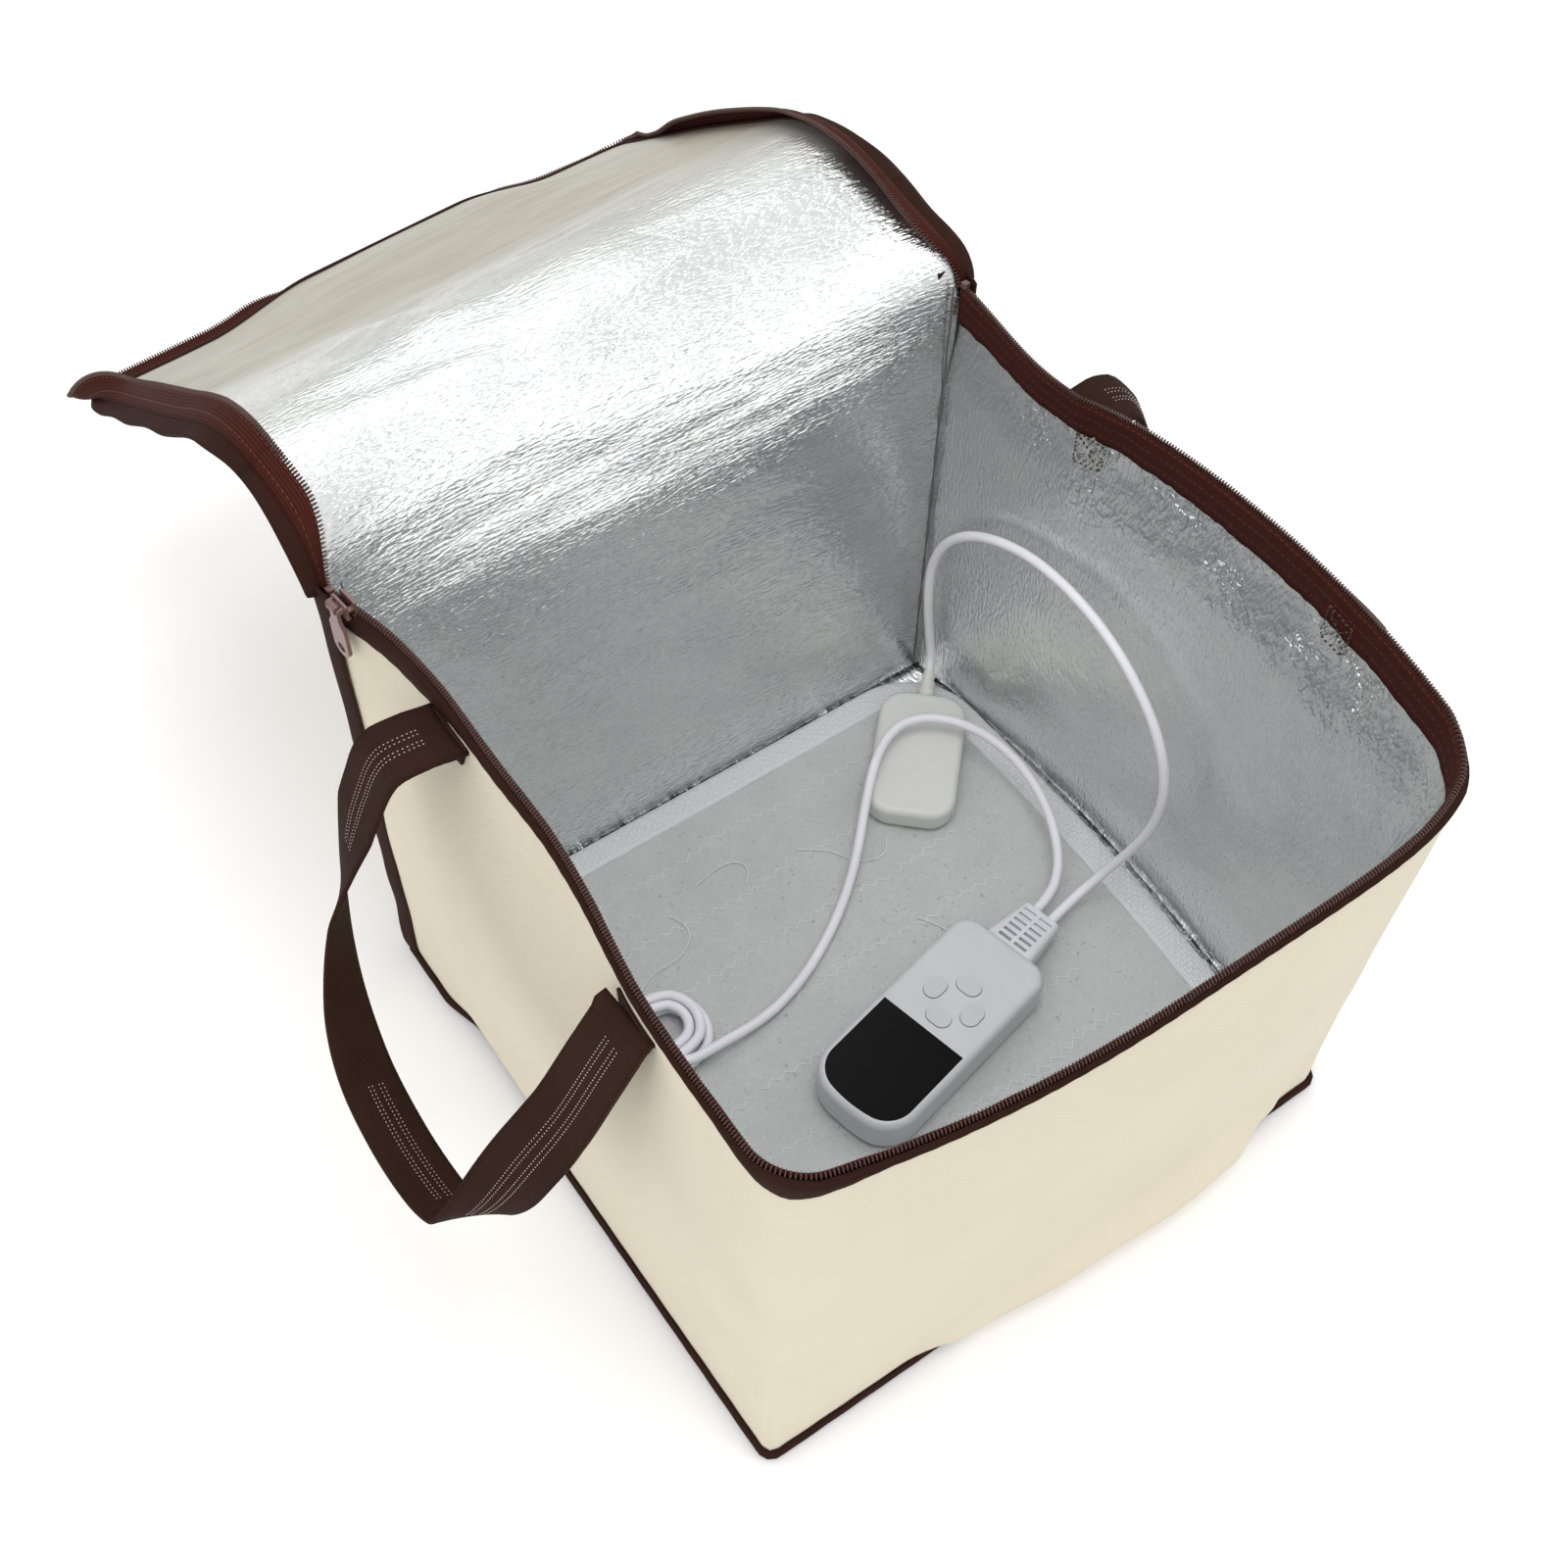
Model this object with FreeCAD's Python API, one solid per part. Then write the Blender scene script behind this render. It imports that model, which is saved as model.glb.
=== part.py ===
import FreeCAD, Part
import math
import os

from FreeCAD import Placement, Rotation, Vector

# Bag, outside sizes in mm: X to the right, Y to the rear, Z up from the floor
box_width = 344.0
box_depth = 340.0
front_corner_radius = 26.0
front_bow = 24.0            # front rim stands out between its corners
right_bow_base = 8.0        # right wall stands out at the floor
right_bow_rim = 12.0        # and at the rim
left_sag = 12.0             # left rim sags inwards
left_sag_y = 52.0           # where it sags most
left_sag_reach = 18.0       # half of the rounded stretch there

# Layers of the walls, the base and the lid
cloth = 1.2
foam = 5.0
foil = 0.8
binding = 0.8

# Heights of the walls and the zip
wall_height = 277.0         # top of foam and foil
cloth_rise = 9.0            # cream cloth above the foil
tape_height = 18.3          # zip tape above the foil
tape_thickness = 1.0
chain_height = 3.2
chain_thickness = 2.4
zip_gap = 1.6               # between the two chains of the shut, unzipped lid
stop_length = 3.0
stop_margin = 0.3
rim_binding_width = 10.0
seam_binding_width = 10.0
base_binding_height = 8.0
base_binding_lift = 0.4     # the base cloth, not the binding, meets the floor
seam_binding_drop = 12.0    # below the hinge

# Lid
lid_tape_height = 6.0
lid_binding_width = 10.0
lid_rear_length = 72.0      # from the hinge to the fold across the lid
lid_rest_angle = 178.0      # opened by this much from shut
lid_fold_rest = 36.0        # and bent back by this much at the fold
hinge_gap = 0.4             # between the lid and the back wall
hinge_lift = 0.1
fold_gap = 0.3

# Carry straps
strap_width = 32.0
strap_thickness = 2.0
strap_half_span = 80.0      # half of the distance between a strap's ends
strap_centre_y = 7.0
strap_normal_tilt = 32.0    # of the hanging loop, out from straight down
# Share of the half span, distance out and drop from the pivot, turn of the webbing
strap_path = [(1.0, 0.0, 0.0, 0), (1.005, 16.0, 10.5, 0), (1.01, 32.5, 24.0, 4), (1.01, 46.0, 47.0, 35),
              (0.91, 57.0, 77.0, 58), (0.70, 69.0, 107.0, 74), (0.375, 77.0, 125.0, 84), (-0.01, 81.0, 131.5, 88),
              (-0.39, 82.0, 132.0, 92), (-0.60, 79.5, 127.0, 98), (-0.75, 73.0, 116.0, 108),
              (-0.845, 63.0, 100.0, 122), (-0.92, 49.0, 76.0, 145), (-0.97, 33.0, 49.0, 165),
              (-1.01, 20.0, 21.0, 178), (-1.0, 0.0, 0.0, 180)]
strap_pivot_rise = 1.0      # above the top of the foil
strap_clearance = 0.4
left_splay = 2.2            # the walls curve away from each strap's straight pivot
right_splay = 1.0
strap_end_height = 30.0
strap_end_gap = 0.3

# Zip slider and pull
slider_rest_gap = 13.0      # from the back wall to the slider's middle
slider_length = 11.0
slider_plate = 1.2
slider_clearance = 0.3
slider_lip = 1.1
slider_post_length = 2.5
bar_radius = 0.9
bar_reach = 2.4             # from the outer plate to the bar's axis
lug_thickness = 1.4
pull_length = 31.0
pull_width = 11.0
pull_neck_width = 5.6
pull_neck_length = 12.0
pull_thickness = 1.8
pull_eye_radius = 2.1
pull_hole_radius = 2.6
pull_clearance = 0.08

# Heating mat
mat_side_gap = 6.0          # from the mat's edge to the lining
mat_end_gap = 7.0
mat_corner_radius = 42.0
felt = 2.0
mat_tape = 0.5
mat_tape_width = 17.0
heat_wire = 1.4
heat_wire_gap = 0.1
heat_wire_margin = 34.0
heat_wire_rows = 8

# Junction box on the mat
junction_side_gap = 54.0    # from the bag's right face to the box's middle
junction_rear_gap = 70.0    # from its rear face
junction_turn = 46.0
junction_length = 86.0
junction_width = 50.0
junction_height = 15.0
junction_split = 5.0
junction_corner = 15.0
junction_edge = 4.0
junction_wall = 2.0
cutout_size = (32.0, 12.0, 6.0)
relief_tilt = 40.0
relief_length = 17.0
relief_root_radius = 5.6
relief_tip_radius = 3.9
relief_ribs = 4
relief_rib_depth = 0.9
relief_lift = 0.3           # clear of the mat

# Controller
controller_place = (15.0, -44.0)
controller_turn = 12.6
controller_length = 130.0
controller_width = 59.0
controller_height = 24.0
controller_split = 10.0
controller_wall = 2.4
display_end_bulge = 5.0
display_end_corner = 20.0
cord_end_corner = 12.0
controller_edge = 4.0
window_margin = 3.5
window_ledge = 4.0
window_thickness = 1.6
window_length = 61.0
board_size = (98.0, 40.0, 1.6)
board_height = 13.4
display_size = (42.0, 22.0)
display_gap = 0.2
boss_radius = 3.4
boss_inset = (44.0, 15.0)
screw_radius = 1.3
screw_head_radius = 2.5
screw_head = 1.6
screw_clearance = 0.1
screw_bite = 4.0
button_window_gap = 22.0    # from the window's edge to the middle of the four
button_offset = -1.7
button_spread = 12.3
button_size = (14.0, 10.0)
button_clearance = 0.25
button_proud = 0.8
button_flange = 1.2
button_flange_gap = 0.2
button_travel_gap = 0.7
switch_size = (6.0, 6.0, 1.3)
boot_length = 30.0
boot_root = (30.0, 15.0)
boot_tip = (23.0, 10.0)
boot_slots = 6
boot_slot = (2.0, 8.0, 2.6)
boot_cord_spread = 5.0

# Leads
cord_diameter = 5.4
coil_place = (-109.0, 36.0)
coil_half_run = 15.0
coil_pitch = 5.9
coil_outer_radius = 26.5
coil_inward_half_turns = 4
coil_outward_half_turns = 4
coil_tail = 16.0
coil_lift = 1.3
tie_width = 9.0
tie_thickness = 0.9
tie_gap = 0.2
plug_length = 36.0
plug_taper = 0.55
plug_root_width = 11.0
plug_face = (24.0, 13.0)
plug_lift = 0.1
blade_size = (1.5, 17.0, 6.4)
blade_spacing = 12.7

# Places worked out from the sizes above
half_width = box_width / 2
front_face = -box_depth / 2
rear_face = box_depth / 2
wall = cloth + foam + foil
back_face = rear_face - wall
chain_low = wall_height + tape_height
chain_top = chain_low + chain_height
chain_inset = cloth + tape_thickness / 2
cloth_top = wall_height + cloth_rise
lid_chain_low = chain_top + zip_gap
lid_tape_low = lid_chain_low + chain_height
lid_face = lid_tape_low + lid_tape_height + binding
lid_top = lid_face + wall
back_top = lid_face - hinge_gap
lid_rear_edge = rear_face - cloth - hinge_gap
hinge = Vector(0, rear_face - cloth / 2, lid_top + hinge_lift)
fold = Vector(0, hinge.y - lid_rear_length, lid_top + binding)
slider_rest_y = back_face - slider_rest_gap
strap_pivot_z = wall_height + strap_pivot_rise
mat_width = box_width - 2 * (wall + mat_side_gap)
mat_depth = box_depth - 2 * (wall + mat_end_gap)
junction_place = (half_width - junction_side_gap, rear_face - junction_rear_gap)
mat_low = wall + mat_tape
window_edge = -controller_length / 2 + window_length
button_centre = (window_edge + button_window_gap, button_offset)
wire_low = mat_low + felt + heat_wire_gap
mat_felt_low = wire_low + heat_wire + heat_wire_gap
mat_top = mat_felt_low + felt
across = Vector(1, 0, 0)
up = Vector(0, 0, 1)
reach_all = 900.0           # larger than the whole bag

nodes = {}
plans = {}


def block(low, high):
    size = [high[i] - low[i] for i in range(3)]
    return Part.makeBox(size[0], size[1], size[2], Vector(*low))


def level(low, high):
    return block((-reach_all, -reach_all, low), (reach_all, reach_all, high))


def bend(before, corner, after, reach):
    # Tangent arc round a corner, which leaves each run at the given reach
    towards = (before - corner).normalize()
    away = (after - corner).normalize()
    turn = math.pi - towards.getAngle(away)
    middle = corner + (towards + away).normalize() * (reach * math.tan(turn / 4))
    return corner + towards * reach, middle, corner + away * reach


def outline(inset, share, z):
    # Plan of the bag at a height, from straight at the base to bowed at the rim
    left = -half_width + inset
    right = half_width - inset
    front = front_face + inset
    radius = front_corner_radius - inset
    cut = radius * (1 - math.sqrt(0.5))
    sag = left_sag * share
    bow = front_bow * share
    swell = right_bow_base + (right_bow_rim - right_bow_base) * share
    side_end = front + radius
    points = [Vector(right, rear_face, z), Vector(left, rear_face, z), Vector(left, back_face, z)]
    edges = [Part.LineSegment(points[0], points[1]), Part.LineSegment(points[1], points[2])]
    corner = Vector(left, side_end, z)
    if sag > 0:
        start, middle, end = bend(points[2], Vector(left + sag, left_sag_y, z), corner, left_sag_reach)
        sagging = Part.Arc(start, middle, end)
    else:
        start = Vector(left, left_sag_y + left_sag_reach, z)
        end = Vector(left, left_sag_y - left_sag_reach, z)
        sagging = Part.LineSegment(start, end)
    edges += [Part.LineSegment(points[2], start), sagging, Part.LineSegment(end, corner)]
    front_left = Vector(left + radius, front, z)
    front_right = Vector(right - radius, front, z)
    edges.append(Part.Arc(corner, Vector(left + cut, front + cut, z), front_left))
    if bow > 0:
        edges.append(Part.Arc(front_left, Vector(0, front - bow, z), front_right))
    else:
        edges.append(Part.LineSegment(front_left, front_right))
    corner = Vector(right, side_end, z)
    edges.append(Part.Arc(front_right, Vector(right - cut, front + cut, z), corner))
    side = Vector(right, back_face, z)
    edges.append(Part.Arc(corner, Vector(right + swell, (side_end + back_face) / 2, z), side))
    edges.append(Part.LineSegment(side, points[0]))
    return Part.Wire([edge.toShape() for edge in edges])


def plan(inset):
    if inset not in plans:
        wires = [outline(inset, 0.0, 0.0), outline(inset, 1.0, chain_top)]
        plans[inset] = Part.makeLoft(wires, True, True)
    return plans[inset]


def floor_plate(inset, low, high, rear):
    zone = block((-reach_all, -reach_all, low), (reach_all, rear, high))
    return plan(inset).common(zone)


def ring(outer, inner, low, high, rear=back_face):
    # Left, front and right in one wrap, between two insets and two heights
    zone = block((-reach_all, -reach_all, low), (reach_all, rear, high))
    return plan(outer).common(zone).cut(plan(inner))


def left_wall_x(y, z):
    share = z / chain_top
    side_end = front_face + front_corner_radius
    if y > left_sag_y:
        sag = left_sag * (back_face - y) / (back_face - left_sag_y)
    else:
        sag = left_sag * (y - side_end) / (left_sag_y - side_end)
    return half_width - sag * share


def right_wall_x(y, z):
    swell = right_bow_base + (right_bow_rim - right_bow_base) * z / chain_top
    side_end = front_face + front_corner_radius
    half = (back_face - side_end) / 2
    radius = (half * half + swell * swell) / (2 * swell)
    offset = y - (back_face + side_end) / 2
    return half_width + swell - radius + math.sqrt(radius * radius - offset * offset)


def make_bag():
    inside = cloth + foam
    nodes["outer_wall"] = ring(0, cloth, cloth, cloth_top)
    nodes["foam_wall"] = ring(cloth, inside, cloth, wall_height - foil)
    liner = ring(inside, wall, cloth, wall_height)
    nodes["liner_wall"] = liner.fuse(ring(cloth, inside, wall_height - foil, wall_height)).removeSplitter()
    nodes["outer_base"] = floor_plate(0, 0, cloth, rear_face)
    nodes["foam_base"] = floor_plate(wall, cloth, inside, back_face)
    nodes["liner_base"] = floor_plate(wall, inside, wall, back_face)
    layers = [("liner_back", foil), ("foam_back", foam), ("outer_back", cloth)]
    front = back_face
    for name, thickness in layers:
        low = (-half_width, front, cloth)
        high = lid_top if name == "outer_back" else back_top
        nodes[name] = block(low, (half_width, front + thickness, high))
        front += thickness


def make_bindings():
    hem_low = base_binding_lift
    hem_high = base_binding_lift + base_binding_height
    edge = half_width + binding
    rear = rear_face + binding
    hem = ring(-binding, 0, hem_low, hem_high)
    back_hem = block((-edge, back_face, hem_low), (edge, rear, hem_high))
    back_hem = back_hem.cut(block((-half_width, back_face, 0), (half_width, rear_face, hem_high)))
    nodes["base_binding"] = hem.fuse(back_hem).removeSplitter()
    seams = []
    seam_top = lid_face - seam_binding_drop
    for side in (-1, 1):
        outer = sorted((side * edge, side * (half_width - seam_binding_width)))
        seam = block((outer[0], back_face, hem_high), (outer[1], rear, seam_top))
        core = block((-half_width, back_face, hem_high), (half_width, rear_face, seam_top))
        seams.append(seam.cut(core))
    nodes["rear_seam_bindings"] = Part.makeCompound(seams)
    low = cloth_top - rim_binding_width
    rim = ring(-binding, 0, low, cloth_top)
    nodes["rim_binding"] = rim.fuse(ring(-binding, cloth, cloth_top, cloth_top + binding)).removeSplitter()


def chain_sides():
    half = chain_thickness / 2
    return chain_inset - half, chain_inset + half


def make_zip():
    outer, inner = chain_sides()
    chain_end = back_face - stop_length
    nodes["zip_tape"] = ring(cloth, cloth + tape_thickness, wall_height, chain_low)
    nodes["zip_chain"] = ring(outer, inner, chain_low, chain_top, chain_end)
    margin = stop_margin
    stops = ring(outer - margin, inner + margin, chain_low, chain_top + margin)
    behind = block((-reach_all, chain_end, 0), (reach_all, back_face, reach_all))
    nodes["zip_end_stops"] = Part.makeCompound(stops.common(behind).Solids)


def lid_plate(inset, low, high):
    plate = Part.Face(outline(inset, 1.0, low)).extrude(up * (high - low))
    return plate.common(block((-reach_all, -reach_all, low), (reach_all, lid_rear_edge, high)))


def open_lid(shape, front_length):
    # Turns a piece from the shut lid to where the open lid drapes
    turned = shape.copy()
    if front_length:
        turned.rotate(fold, across, -lid_fold_rest)
    turned.rotate(hinge, across, -lid_rest_angle)
    return turned


def make_lid():
    inside = lid_face + foil
    outer, inner = chain_sides()
    rim_rear = back_face - hinge_gap
    rim = block((-reach_all, -reach_all, 0), (reach_all, rim_rear, reach_all))
    channel = lid_plate(-binding, lid_face - binding, lid_top + binding)
    channel = channel.cut(lid_plate(0, lid_face, lid_top))
    channel = channel.cut(lid_plate(lid_binding_width, 0, reach_all))
    tape = lid_plate(cloth, lid_tape_low, lid_face - binding)
    tape = tape.cut(lid_plate(cloth + tape_thickness, 0, reach_all))
    chain = lid_plate(outer, lid_chain_low, lid_tape_low).cut(lid_plate(inner, 0, reach_all))
    pieces = {
        "liner": lid_plate(0, lid_face, inside),
        "foam": lid_plate(0, inside, inside + foam),
        "outer": lid_plate(0, inside + foam, lid_top),
        "binding": channel.common(rim),
        "zip_tape": tape.common(rim),
        "zip_chain": chain.common(rim),
    }
    behind = block((-reach_all, fold.y + fold_gap / 2, 0), (reach_all, reach_all, reach_all))
    ahead = block((-reach_all, -reach_all, 0), (reach_all, fold.y - fold_gap / 2, reach_all))
    for name, shape in pieces.items():
        rear_part = Part.makeCompound(shape.common(behind).Solids)
        nodes["lid_rear_" + name] = open_lid(rear_part, False)
        front_part = Part.makeCompound(shape.common(ahead).Solids)
        nodes["lid_front_" + name] = open_lid(front_part, True)


def slider_frame():
    # Local X runs forward along the left chain, local Y points into the bag
    run = Vector(left_sag, left_sag_y - back_face, 0).normalize()
    start_x = -half_width + chain_inset
    start_x += left_sag * (back_face - slider_rest_y) / (back_face - left_sag_y)
    place = Vector(start_x, slider_rest_y, chain_top)
    turn = math.degrees(math.atan2(run.y, run.x))
    return Placement(place, Rotation(up, turn)), run


def make_slider():
    frame, run = slider_frame()
    half = slider_length / 2
    inner = chain_thickness / 2 + slider_clearance
    outer = inner + slider_plate
    low = -chain_height - slider_clearance - slider_lip
    high = zip_gap + chain_height - slider_clearance
    body = block((-half, -outer, low), (half, outer, high))
    body = body.cut(block((-half, -inner, low + slider_lip), (half, inner, high)))
    slot = tape_thickness / 2 + slider_clearance
    body = body.cut(block((-half, -slot, low), (half, slot, high)))
    post_low = slider_clearance
    post_high = zip_gap - slider_clearance
    body = body.fuse(block((half - slider_post_length, -outer, post_low), (half, outer, post_high)))
    corners = [edge for edge in body.Edges if edge.BoundBox.YLength > slider_plate - 0.01
               and edge.BoundBox.XLength < 0.01 and edge.BoundBox.ZLength < 0.01
               and abs(abs(edge.CenterOfMass.x) - half) < 0.01
               and abs(edge.CenterOfMass.y) > inner]
    body = body.makeFillet(slider_plate, corners)
    bar_y = -outer - bar_reach
    bar_z = (low + high) / 2 + pull_eye_radius
    gap = pull_neck_width / 2 + slider_clearance
    for side in (-1, 1):
        near = sorted((side * gap, side * (gap + lug_thickness)))
        lug = block((near[0], bar_y, bar_z - bar_reach / 2), (near[1], -inner, bar_z + bar_reach / 2))
        round_end = Part.makeCylinder(bar_reach / 2, lug_thickness, Vector(near[0], bar_y, bar_z), across)
        body = body.fuse(lug).fuse(round_end)
    bar = Part.makeCylinder(bar_radius, 2 * gap, Vector(-gap, bar_y, bar_z), across)
    body = body.fuse(bar).removeSplitter()
    body.Placement = frame
    nodes["zip_slider"] = body
    pivot = frame.multVec(Vector(0, bar_y, bar_z))
    print("slider run", run, "pull pivot", pivot)
    make_pull(frame, bar_y, bar_z)


def make_pull(frame, bar_y, bar_z):
    half = pull_thickness / 2
    neck = pull_neck_width / 2
    wide = pull_width / 2
    drop = pull_length - wide
    points = [Vector(-neck, 0, 0), Vector(-neck, 0, -pull_neck_length * 0.6), Vector(-wide, 0, -pull_neck_length)]
    left = points + [Vector(-wide, 0, -drop)]
    right = [Vector(-point.x, 0, point.z) for point in reversed(left)]
    edges = [Part.LineSegment(left[i], left[i + 1]).toShape() for i in range(3)]
    edges.append(Part.Arc(left[3], Vector(0, 0, -pull_length), right[0]).toShape())
    edges += [Part.LineSegment(right[i], right[i + 1]).toShape() for i in range(3)]
    edges.append(Part.LineSegment(right[3], left[0]).toShape())
    tab = Part.Face(Part.Wire(edges)).extrude(Vector(0, pull_thickness, 0))
    tab.translate(Vector(0, -half, 0))
    barrel = Part.makeCylinder(pull_eye_radius, pull_neck_width, Vector(-neck, 0, 0), across)
    eye = Part.makeCylinder(bar_radius + pull_clearance, pull_neck_width, Vector(-neck, 0, 0), across)
    hole_z = -pull_length + wide
    hole = Part.makeCylinder(pull_hole_radius, pull_thickness, Vector(0, -half, hole_z), Vector(0, 1, 0))
    tab = tab.fuse(barrel).cut(eye).cut(hole).removeSplitter()
    tab.Placement = frame.multiply(Placement(Vector(0, bar_y, bar_z), Rotation()))
    nodes["zip_pull"] = tab


def ribbon(stations):
    # Flat webbing lofted through its cross-sections: place, way along, way across
    sections = []
    for place, along, wide in stations:
        side = wide * (strap_width / 2)
        thick = along.cross(wide).normalize() * (strap_thickness / 2)
        corners = [place + side + thick, place - side + thick, place - side - thick, place + side - thick]
        sections.append(Part.makePolygon(corners + corners[:1]))
    return Part.makeLoft(sections, True, True)


def strap_shape(half_span):
    # Strap in its own frame: pivot along Y, outwards along X, hanging at rest
    tilt = math.radians(strap_normal_tilt)
    normal = Vector(math.cos(tilt), 0, math.sin(tilt))
    rear = Vector(0, 1, 0)
    places = [Vector(out, share * half_span, -drop) for share, out, drop, twist in strap_path]
    last = len(places) - 1
    stations = []
    for i, place in enumerate(places):
        along = (places[min(i + 1, last)] - places[max(i - 1, 0)]).normalize()
        angle = math.radians(strap_path[i][3])
        wide = rear * -math.cos(angle) + normal * math.sin(angle)
        wide = (wide - along * wide.dot(along)).normalize()
        stations.append((place, along, wide))
    return ribbon(stations)


def make_straps():
    ends = []
    end_high = cloth_top - rim_binding_width - strap_end_gap
    end_low = end_high - strap_end_height
    sewn = ring(-strap_thickness, 0, end_low, end_high)
    sides = (("strap_left", left_wall_x, left_splay, -1), ("strap_right", right_wall_x, right_splay, 1))
    for name, wall_x, splay, side in sides:
        stand_off = binding + strap_clearance + splay + strap_thickness / 2
        spots = []
        for y in (strap_centre_y + strap_half_span, strap_centre_y - strap_half_span):
            spots.append(Vector(wall_x(y, strap_pivot_z) + stand_off, y, strap_pivot_z))
            low = (min(0, side * reach_all), y - strap_width / 2, 0)
            ends.append(sewn.common(block(low, (max(0, side * reach_all), y + strap_width / 2, reach_all))))
        span = spots[0] - spots[1]
        strap = strap_shape(span.Length / 2)
        strap.rotate(Vector(), up, math.degrees(math.atan2(-span.x, span.y)))
        middle = (spots[0] + spots[1]) * 0.5
        strap.translate(middle)
        if side < 0:
            strap = strap.mirror(Vector(), across)
        nodes[name] = strap
        print(name, "pivot", side * middle.x, middle.y, middle.z, "axis", side * span.x / span.Length, span.y / span.Length)
    nodes["strap_ends"] = Part.makeCompound(ends)


def rounded_plate(length, width, radius, low, high):
    plate = block((-length / 2, -width / 2, low), (length / 2, width / 2, high))
    upright = [edge for edge in plate.Edges if edge.BoundBox.ZLength > (high - low) / 2]
    return plate.makeFillet(radius, upright)


def make_mat():
    middle = Vector(0, (front_face + wall + back_face) / 2, 0)
    tape = rounded_plate(mat_width, mat_depth, mat_corner_radius, wall, mat_top + mat_tape)
    inner = (mat_width - 2 * mat_tape_width, mat_depth - 2 * mat_tape_width)
    inside = rounded_plate(inner[0], inner[1], mat_corner_radius - mat_tape_width, wall, mat_top + mat_tape)
    sheet = (mat_width - 2 * mat_tape, mat_depth - 2 * mat_tape, mat_corner_radius - mat_tape)
    core = rounded_plate(sheet[0], sheet[1], sheet[2], mat_low, mat_top)
    pieces = {
        "mat_edge_tape": tape.cut(core).cut(inside),
        "mat_bottom_felt": rounded_plate(sheet[0], sheet[1], sheet[2], mat_low, mat_low + felt),
        "mat_top_felt": rounded_plate(sheet[0], sheet[1], sheet[2], mat_felt_low, mat_top),
        "mat_heating_wire": heating_wire(),
    }
    for name, shape in pieces.items():
        shape.translate(middle)
        nodes[name] = shape


def heating_wire():
    # Runs from side to side, joined by half rings at alternate ends
    pitch = (mat_depth - 2 * heat_wire_margin) / (heat_wire_rows - 1)
    end_x = mat_width / 2 - heat_wire_margin - pitch / 2
    half = heat_wire / 2
    high = wire_low + heat_wire
    shape = None
    for row in range(heat_wire_rows):
        y = -mat_depth / 2 + heat_wire_margin + pitch * row
        run = block((-end_x, y - half, wire_low), (end_x, y + half, high))
        shape = run if shape is None else shape.fuse(run)
        if row == heat_wire_rows - 1:
            break
        side = 1 if row % 2 == 0 else -1
        centre = Vector(side * end_x, y + pitch / 2, wire_low)
        turn = Part.makeCylinder(pitch / 2 + half, heat_wire, centre)
        turn = turn.cut(Part.makeCylinder(pitch / 2 - half, heat_wire, centre))
        beyond = sorted((side * end_x, side * reach_all))
        shape = shape.fuse(turn.common(block((beyond[0], -reach_all, 0), (beyond[1], reach_all, high))))
    return shape.removeSplitter()


def soft_edges(shape, radius, low, high):
    # Rounds the long way round at the top and the bottom of a moulded case
    rims = [edge for edge in shape.Edges
            if edge.BoundBox.ZLength < 0.01 and (abs(edge.BoundBox.ZMin - low) < 0.01
                                                 or abs(edge.BoundBox.ZMin - high) < 0.01)]
    return shape.makeFillet(radius, rims)


def make_junction():
    seat = Vector(junction_place[0], junction_place[1], mat_top + mat_tape)
    place = Placement(seat, Rotation(up, junction_turn))
    case = rounded_plate(junction_length, junction_width, junction_corner, 0, junction_height)
    case = soft_edges(case, junction_edge, 0, junction_height)
    cavity = rounded_plate(junction_length - 2 * junction_wall - 2 * junction_edge,
                           junction_width - 2 * junction_wall - 2 * junction_edge,
                           junction_corner - junction_wall - junction_edge,
                           junction_wall, junction_height - junction_wall)
    half = [size / 2 for size in cutout_size]
    cutout = block((-half[0], -half[1], junction_wall), (half[0], half[1], junction_wall + cutout_size[2]))
    pieces = {
        "junction_base": case.cut(cavity).common(level(0, junction_split)),
        "junction_cover": case.cut(cavity).common(level(junction_split, junction_height)),
        "junction_cutout": cutout,
        "junction_relief": junction_relief().cut(case),
    }
    for name, shape in pieces.items():
        shape.Placement = place.multiply(shape.Placement)
        nodes[name] = shape
    tip = place.multVec(relief_tip())
    print("junction relief tip", tip)


def relief_start():
    return Vector(junction_length / 2, 0, junction_height / 2)


def relief_way():
    tilt = math.radians(relief_tilt)
    return Vector(math.cos(tilt), 0, math.sin(tilt))


def relief_tip():
    return relief_start() + relief_way() * relief_length


def junction_relief():
    # Ribbed, tapered boot that bends up with the lead
    root = junction_wall + relief_root_radius
    rib = relief_length / (2 * relief_ribs)
    points = [Vector(-root, 0, 0), Vector(-root, 0, relief_root_radius)]
    for i in range(relief_ribs):
        radius = relief_root_radius + (relief_tip_radius - relief_root_radius) * i / (relief_ribs - 1)
        start = 2 * i * rib if i else -root
        points += [Vector(start, 0, radius), Vector((2 * i + 1) * rib, 0, radius)]
        points += [Vector((2 * i + 1) * rib, 0, radius - relief_rib_depth),
                   Vector((2 * i + 2) * rib, 0, radius - relief_rib_depth)]
    points.append(Vector(relief_length, 0, 0))
    points = [point for i, point in enumerate(points) if i == 0 or not point.isEqual(points[i - 1], 0.001)]
    profile = Part.Face(Part.makePolygon(points + points[:1]))
    boot = profile.revolve(Vector(), across, 360)
    boot.rotate(Vector(), Vector(0, 1, 0), -relief_tilt)
    boot.translate(relief_start())
    return boot.common(level(relief_lift, reach_all))


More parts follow.
